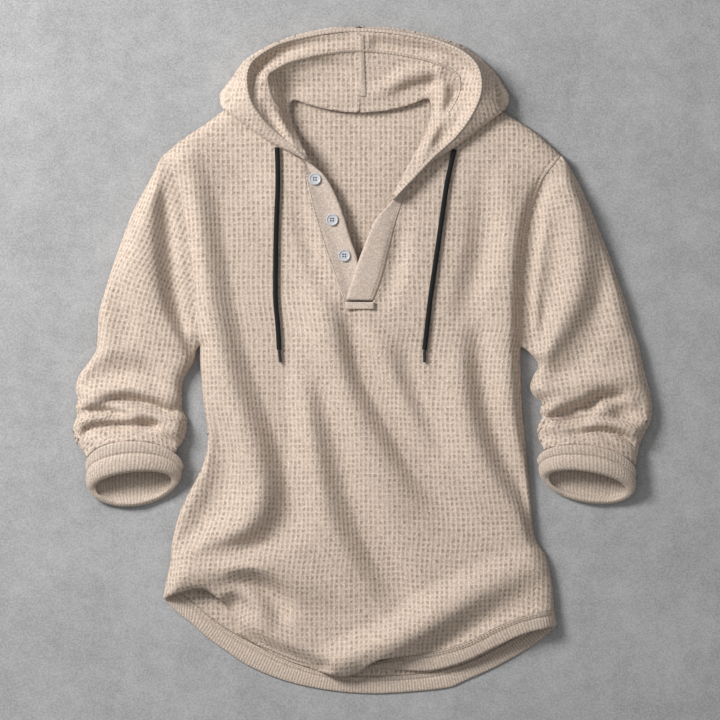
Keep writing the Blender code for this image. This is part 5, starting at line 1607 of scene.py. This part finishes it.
def band_grid(inner, outer, count, shares):
    """Plan points across a band, square to its outer edge except near its two ends."""
    second = spaced(outer, count)
    path = smooth(inner, FINE_CURVE)
    even = np.linspace(0, len(path) - 1, count + 1)
    square = np.maximum.accumulate(nearest(second, path)[1])
    window = np.ones(BAND_WINDOW) / BAND_WINDOW
    square = np.convolve(np.pad(square, BAND_WINDOW // 2, mode="edge"), window, mode="valid")
    part = np.linspace(0, 1, count + 1)
    trust = eased(BAND_ENDS * np.minimum(part, 1 - part))
    along = even + (square - even) * trust
    return laid_across(read_off(path, np.arange(len(path)), along), second, shares)


def band_points(inner, outer, top, drop):
    """The upper points of a ribbed band: across it by BAND_PROFILE, along it four steps a rib."""
    knit = bpy.context.scene.hoodie_knit
    count = len(RIB_WAVE) * steps_in(outer, knit.rib_pitch / MM)
    profile = smooth(BAND_PROFILE, 2)
    grid = band_grid(inner, outer, count, profile[:, 0])
    upper = on_plan(grid[:, :1].repeat(len(profile), axis=1), top)
    upper[..., :2] = grid
    ribs = np.array(RIB_WAVE)[np.arange(count + 1) % len(RIB_WAVE)][:, None]
    raised = knit.rib_rise / MM * ribs * np.clip(profile[:, 2], 0, 1)
    upper[..., 2] += profile[:, 1] - drop * profile[:, 0] + raised
    return upper.transpose(1, 0, 2)


def make_band(name, points):
    work = grid_work(points)
    scaled_weave(work, 1 / len(RIB_WAVE), 1)
    return shown(name + "_knit", faced_up(work), "rib", "rib", name, BAND_WALL * MM)


def make_bands():
    level = band_points(BACK_HEM, BAND_BACK_OUTER, level_at(BAND_WALL), 0)
    shown_band = band_points(BAND_FRONT_INNER, BAND_FRONT_OUTER, band_height, HEM_DROP)
    return make_band("hem_band_back", level), make_band("hem_band_front", shown_band)


def make_strip(node, first, second, top, step=3.0, across=12, spill=0.0, sink=((0, 0), (1, 0))):
    """A strip of twill with soft edges: spill runs past its first edge, and sink lowers it across its width."""
    shares = np.linspace(-spill, 1, across)
    upper = on_plan(strip_grid(first, second, steps_in(first, step), shares), top)
    edge = np.minimum(shares + spill, 1 - shares) * (across - 1)
    places, depths = zip(*sink)
    upper[..., 2] -= STRIP_EDGE * np.clip(1 - edge, 0, 1) + np.interp(shares, places, depths)
    work = faced_up(grid_work(upper.transpose(1, 0, 2)))
    shown(node + "_twill", work, "twill", "twill", node, STRIP_WALL * MM)


def strip_top(points):
    return body_top(points) + STRIP_LIFT


def make_placket():
    """The stand and the strip, each lapping over the front along its outer edge, and the box at their foot."""
    outer, inner = STAND_HEAD[:1] + STAND_OUTER, STAND_HEAD[1:] + STAND_INNER
    make_strip("placket_stand", outer, inner, strip_top, spill=STAND_SPILL, sink=STAND_SINKS)
    outer, inner = STRIP_HEAD[:1] + STRIP_OUTER, STRIP_HEAD[1:] + STRIP_INNER
    make_strip("placket_strip", outer, inner, strip_top, spill=STRIP_SPILL, sink=STRIP_SINKS)
    box_grid = strip_grid(*BOX_SIDES, BOX_STEPS, BOX_SHARES)
    level = body_top(box_grid.reshape(-1, 2)).max() + STRIP_LIFT + STRIP_WALL
    make_strip("placket_box", *BOX_SIDES, level_at(level), step=2.0, across=15)


def make_button(name, place):
    """A turned button with a raised rim and four thread holes."""
    height, up = surface_frame(place)
    lift = BUTTON_LIFT + (1 - up.z) * BUTTON_RADIUS
    spot = Vector((place[0], place[1], height)) * MM + up * lift * MM
    lay = Matrix.Translation(spot) @ up.to_track_quat("Z", "Y").to_matrix().to_4x4()
    rows = [(max(r, 0), z) for r, z in smooth(BUTTON_PROFILE, 3)]
    disc = linked(name + "_disc", mesh_of(name + "_disc", turned(rows, BUTTON_SIDES)))
    drill = bmesh.new()
    for turn in range(4):
        angle = math.tau * (turn + 0.5) / 4
        shift = Vector((math.cos(angle), math.sin(angle), 0)) * EYE_SPREAD * MM
        cylinder(drill, EYE_RADIUS, 4 * BUTTON_THICK, 12, Matrix.Translation(shift))
    cutter = linked(name + "_drill", mesh_of(name + "_drill", drill))
    holes = disc.modifiers.new("thread holes", "BOOLEAN")
    holes.object = cutter
    graph = bpy.context.evaluated_depsgraph_get()
    mesh = bpy.data.meshes.new_from_object(disc.evaluated_get(graph))
    for helper in (disc, cutter):
        bpy.data.objects.remove(helper)
    cut = bmesh.new()
    cut.from_mesh(mesh)
    bmesh.ops.transform(cut, matrix=lay, verts=cut.verts)
    shown(name + "_shell", cut, "button", "button", name, smooth_shading=False)
    # A dark disc under the button: painted shadow that shows in the thread holes.
    pad = bmesh.new()
    shift = Matrix.Translation((0, 0, HOLE_SHADOW_LIFT * MM))
    cylinder(pad, HOLE_SHADOW_RADIUS, HOLE_SHADOW_THICK, 24, lay @ shift)
    shown(name + "_thread", pad, "hole_shadow", "button")


def tube_work(points, radius, around, swell, flat):
    """A tube along points with closed ends, flat times as wide as high; swell(row, column) adds to its radius."""
    path = np.array(points, float)
    ahead = unit(np.gradient(path, axis=0))
    side = unit(np.cross(ahead, (0, 0, 1.0)))
    up = np.cross(side, ahead)
    angles = np.linspace(0, math.tau, around + 1)
    angles[-1] = 0
    sizes = np.full(len(path), float(radius))
    sizes[0] = sizes[-1] = 1e-3
    extra = swell(np.arange(len(path))[:, None], np.arange(around + 1)[None, :])
    reach = (sizes[:, None] + extra * (sizes[:, None] > 0.1))[..., None]
    ring = flat * np.cos(angles)[None, :, None] * side[:, None] + np.sin(angles)[None, :, None] * up[:, None]
    work = grid_work(path[:, None] + reach * ring, joined=True)
    bmesh.ops.remove_doubles(work, verts=work.verts, dist=2 * MERGE)
    bmesh.ops.recalc_face_normals(work, faces=work.faces)
    return work


def dense(points, step):
    """Points on the curve through a 3D route, this far apart."""
    path = smooth(points, FINE_CURVE)
    run = np.concatenate(([0.0], np.cumsum(np.linalg.norm(np.diff(path, axis=0), axis=1))))
    return read_off(path, run, np.linspace(0, run[-1], max(2, round(run[-1] / step)) + 1))


def make_cord(side, route, tip):
    """A flat braided cord on the front, closed at both ends, and its metal tip."""
    points = cord_line(route, CORD_STEP, CORD_RADIUS)
    path = dense(points, BRAID_STEP)
    path = np.vstack((path[:1], path, path[-1:]))
    path[0] -= (path[2] - path[1]) * CORD_CAP
    path[-1] += (path[-2] - path[-3]) * CORD_CAP

    def braid(row, column):
        return BRAID_RISE * np.sin((column + row) * math.tau / 4) * np.sin((column - row) * math.tau / 4)

    work = tube_work(path, CORD_RADIUS - BRAID_RISE, BRAID_SIDES, braid, CORD_FLAT)
    made = shown("drawcord_" + side + "_braid", work, "cord", "cord", "drawcord_" + side)
    end = points[-1]
    ahead = Vector((tip[0] - end[0], tip[1] - end[1], 0)).normalized()
    start = Vector(end) + ahead * SEAM_GAP
    work = turned([(r * AGLET_RADIUS, z * AGLET_LENGTH) for z, r in AGLET_PROFILE], AGLET_SIDES)
    turn = ahead.to_track_quat("Z", "Y").to_matrix().to_4x4()
    bmesh.ops.transform(work, matrix=Matrix.Translation(start * MM) @ turn, verts=work.verts)
    cap = shown("aglet_" + side + "_metal", work, "tip", "tip", "aglet_" + side)
    route_m = [tuple(float(v) * MM for v in point) for point in dense(points, ROUTE_STEP)]


# ---------------------------------------------------------------- sewing

def beside(path, shift):
    """The plan path moved sideways, to its left for a positive shift."""
    return path + shift * left_of(np.gradient(path, axis=0))


def stitch_marks(path, stitch, gap):
    """Start and stop of each stitch along a plan path."""
    run = lengths(path)
    count = max(1, int((run[-1] + gap) / (stitch + gap)))
    starts = np.arange(count) * (stitch + gap) + (run[-1] - count * (stitch + gap) + gap) / 2
    return [read_off(path, run, starts + shift) for shift in (0, stitch)]


def stitched(name, rows, top, slot="waffle", lift=0.25):
    """Rows of thread: one rounded stitch after another on the height that top() gives."""
    trim = bpy.context.scene.hoodie_trim
    work = bmesh.new()
    thick = trim.thread_width / MM / 2
    for row in rows:
        starts, stops = stitch_marks(np.array(row, float), trim.stitch / MM, STITCH_GAP)
        low, high = top(starts), top(stops)
        for a, b, first, second in zip(starts, stops, low, high):
            start = Vector((*a, first + lift))
            stop = Vector((*b, second + lift))
            ahead = stop - start
            side = ahead.cross(Vector((0, 0, 1))).normalized()
            up = side.cross(ahead).normalized()
            middle = (start + stop) / 2
            lay = Matrix((
                (*(ahead / 2), 0), (*(side * thick), 0), (*(up * thick), 0), (*middle, 1)
            )).transposed()
            bmesh.ops.create_icosphere(work, subdivisions=1, radius=1, matrix=Matrix.Scale(MM, 4) @ lay)
    shown(name, work, "thread", slot)


def welt(name, path, top, sizes, finish="rib"):
    """A narrow raised strip of cloth beside a path, rounded across."""
    shift, half, rise, lift = sizes
    path = beside(path, shift)
    shares = np.linspace(-1, 1, WELT_POINTS)
    grid = np.stack([beside(path, half * share) for share in shares], axis=1)
    middle = top(path)[:, None]
    flat = top(grid.reshape(-1, 2)).reshape(grid.shape[:2])
    level = np.minimum(flat, middle + half) + lift
    height = level + rise * np.sqrt(1 - shares * shares)[None, :]
    points = np.concatenate((grid, height[..., None]), axis=2)
    work = grid_work(points.transpose(1, 0, 2))
    scaled_weave(work, 0.5, 0.5)
    shown(name, faced_up(work), finish, "waffle", wall=WELT_WALL * MM)


def sew_body():
    """The raised seam of the right armhole with its stitches, and the hem's cover stitches."""
    path = spaced(ARMHOLE_RIGHT, steps_in(ARMHOLE_RIGHT, 2))
    welt("armhole_seam", path, body_top, ARMHOLE_WELT)
    stitched("armhole_thread", (beside(path, ARMHOLE_ROW),), body_top, lift=0.1)
    for name, inner, outer, top in (
        ("back", BACK_HEM, BAND_BACK_OUTER, level_at(BAND_WALL)),
        ("front", BAND_FRONT_INNER, BAND_FRONT_OUTER, band_height),
    ):
        grid = band_grid(inner, outer, steps_in(outer, 3), HEM_ROWS)
        stitched("hem_thread_" + name, (grid[:, 0], grid[:, 1]), top, slot="rib", lift=0.3)


def sew_placket():
    """Edge stitches of the placket and of its box."""
    count = steps_in(STRIP_OUTER, 3)
    grid = strip_grid(STRIP_OUTER, STRIP_INNER, count, STRIP_ROWS)
    stitched("placket_thread_strip", (grid[:, 0], grid[:, 1]), strip_top, slot="twill", lift=-0.1)
    grid = strip_grid(STAND_OUTER, STAND_INNER, count, STAND_ROWS)
    stitched("placket_thread_stand", (grid[:, 0],), strip_top, slot="twill", lift=0.0)
    left, right = (np.array(side) for side in BOX_SIDES)
    corners = [
        left[0] + (BOX_INSET, -BOX_INSET_TOP), right[0] + (-BOX_INSET, -BOX_INSET_TOP),
        right[1] + (-BOX_INSET, BOX_INSET), left[1] + (BOX_INSET, BOX_INSET),
    ]
    corners.append(corners[0])
    level = body_top(np.array(corners)).max() + STRIP_LIFT + STRIP_WALL
    sides = [np.array((a, b)) for a, b in zip(corners, corners[1:])]
    stitched("placket_thread_box", sides, level_at(level), slot="twill", lift=0.1)


def sew_hood():
    """The hood's turned edge, the cover stitch of its channel, and its taped middle seam."""
    rim = smooth(RIM_LEFT + RIM_RIGHT[1:], FINE_CURVE)[:, :2]
    path = spaced(rim[::4], steps_in(rim[::4], 2.5))
    welt("hood_edge", path, hood_top, RIM_WELT)
    rows = [beside(path, -shift) for shift in CHANNEL_ROWS]
    stitched("hood_thread_channel", [row[row[:, 1] > CHANNEL_FROM] for row in rows], hood_top, lift=0.8)
    shift, half, rise, lift = CHANNEL_WELT
    seam = beside(path, shift)
    welt("hood_channel_seam", seam[seam[:, 1] > CHANNEL_FROM], hood_top, (0, half, rise, lift))
    middle = spaced(MIDDLE_SEAM, steps_in(MIDDLE_SEAM, 2))
    welt("hood_middle_tape", middle, hood_top, MIDDLE_TAPE, finish="twill")
    stitched("hood_thread_middle", [beside(middle, shift) for shift in MIDDLE_ROWS], hood_top, lift=0.5)


# ---------------------------------------------------------------- stage

def make_stage():
    """The pale surface, the camera straight above it, and a soft light from the upper left."""
    stage = bpy.context.scene.hoodie_stage
    work = bmesh.new()
    bmesh.ops.create_grid(work, x_segments=1, y_segments=1, size=FLOOR_HALF)
    bmesh.ops.translate(work, vec=(0, 0, -FLOOR_DROP), verts=work.verts)
    mesh = mesh_of("surface", work)
    mesh.materials.append(finish_of("floor"))
    linked("surface", mesh)
    data = bpy.data.cameras.new("camera")
    data.sensor_width = SENSOR
    data.lens = data.sensor_width * stage.view_height / stage.view_width
    data.clip_end = 30
    camera = linked("camera", data)
    camera.location = (0, 0, stage.view_height)
    bpy.context.scene.camera = camera
    for name, spot, size in LIGHTS:
        light = bpy.data.lights.new(name + " light", "AREA")
        light.size = size
        light.energy = getattr(stage, name)
        lamp = linked(name + " light", light)
        lamp.location = spot
        lamp.rotation_mode = "QUATERNION"
        lamp.rotation_quaternion = (-Vector(spot)).to_track_quat("-Z", "Y")
    world = bpy.data.worlds.new("room")
    world.use_nodes = True
    world.node_tree.nodes["Background"].inputs["Strength"].default_value = stage.room
    world.node_tree.nodes["Background"].inputs["Color"].default_value = (1, 1, 1, 1)
    bpy.context.scene.world = world
    bpy.context.scene.view_settings.view_transform = "Standard"


# ---------------------------------------------------------------- operators

class HOODIE_OT_stage(bpy.types.Operator):
    """Lay out the surface, the lights and the camera"""

    bl_idname = "hoodie.stage"
    bl_label = "Stage"

    def execute(self, context):
        make_stage()
        return {"FINISHED"}


class HOODIE_OT_cords(bpy.types.Operator):
    """Lay the two drawcords and their metal tips"""

    bl_idname = "hoodie.cords"
    bl_label = "Drawcords"

    def execute(self, context):
        make_cord("left", CORD_LEFT, CORD_LEFT_TIP)
        make_cord("right", CORD_RIGHT, CORD_RIGHT_TIP)
        return {"FINISHED"}


class HOODIE_OT_body(bpy.types.Operator):
    """Knit the front and back panels"""

    bl_idname = "hoodie.body"
    bl_label = "Body"

    def execute(self, context):
        front = make_front()
        back = make_back()
        return {"FINISHED"}


class HOODIE_OT_sleeves(bpy.types.Operator):
    """Knit the two sleeves"""

    bl_idname = "hoodie.sleeves"
    bl_label = "Sleeves"

    def execute(self, context):
        left = make_sleeve(
            "sleeve_left", -1, ARMHOLE_LEFT, SLEEVE_LEFT_OUTER, SLEEVE_LEFT_INNER, "cuff_left",
            SLEEVE_LEFT_FOLDS, SPINE_LEFT,
        )
        right = make_sleeve(
            "sleeve_right", 1, ARMHOLE_RIGHT[::-1], SLEEVE_RIGHT_OUTER, SLEEVE_RIGHT_INNER, "cuff_right",
            SLEEVE_RIGHT_FOLDS, SPINE_RIGHT,
        )
        return {"FINISHED"}


class HOODIE_OT_hood(bpy.types.Operator):
    """Knit the two halves of the hood"""

    bl_idname = "hoodie.hood"
    bl_label = "Hood"

    def execute(self, context):
        for half in make_hood():
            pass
        return {"FINISHED"}


class HOODIE_OT_ribs(bpy.types.Operator):
    """Knit the cuffs and the hem bands"""

    bl_idname = "hoodie.ribs"
    bl_label = "Cuffs and hem"

    def execute(self, context):
        for name in CUFFS:
            make_cuff(name)
        for band, cut in zip(make_bands(), (BACK_BAND_CUT, FRONT_BAND_CUT)):
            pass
        return {"FINISHED"}


class HOODIE_OT_placket(bpy.types.Operator):
    """Sew the placket and its buttons"""

    bl_idname = "hoodie.placket"
    bl_label = "Placket and buttons"

    def execute(self, context):
        make_placket()
        sew_placket()
        for number, place in enumerate(BUTTONS, 1):
            make_button(f"button_{number}", place)
        return {"FINISHED"}


class HOODIE_OT_sewing(bpy.types.Operator):
    """Sew the right armhole's seam, the hem and the hood's edge"""

    bl_idname = "hoodie.sewing"
    bl_label = "Seams"

    def execute(self, context):
        sew_body()
        sew_hood()
        return {"FINISHED"}


class HOODIE_PT_panel(bpy.types.Panel):
    """Sizes, colours and pieces of the hoodie"""

    bl_label = "Waffle hoodie"
    bl_idname = "HOODIE_PT_panel"
    bl_space_type = "VIEW_3D"
    bl_region_type = "UI"
    bl_category = "Hoodie"

    def draw(self, context):
        layout = self.layout
        for name in ("hoodie_knit", "hoodie_trim", "hoodie_stage"):
            settings = getattr(context.scene, name)
            box = layout.box()
            for key in type(settings).__annotations__:
                box.prop(settings, key)
        for operator in OPERATORS:
            layout.operator(operator.bl_idname)


OPERATORS = (
    HOODIE_OT_stage, HOODIE_OT_cords, HOODIE_OT_body, HOODIE_OT_sleeves, HOODIE_OT_hood, HOODIE_OT_ribs,
    HOODIE_OT_placket, HOODIE_OT_sewing,
)
SETTINGS = {"hoodie_knit": HoodieKnit, "hoodie_trim": HoodieTrim, "hoodie_stage": HoodieStage}


def register():
    for kind in (*SETTINGS.values(), *OPERATORS, HOODIE_PT_panel):
        bpy.utils.register_class(kind)
    for name, kind in SETTINGS.items():
        setattr(bpy.types.Scene, name, bpy.props.PointerProperty(type=kind))


def unregister():
    for name in SETTINGS:
        delattr(bpy.types.Scene, name)
    for kind in (HOODIE_PT_panel, *reversed(OPERATORS), *reversed(list(SETTINGS.values()))):
        bpy.utils.unregister_class(kind)


def main():
    register()
    for operator in OPERATORS:
        getattr(bpy.ops.hoodie, operator.bl_idname.split(".")[1])()


if __name__ == "__main__":
    main()
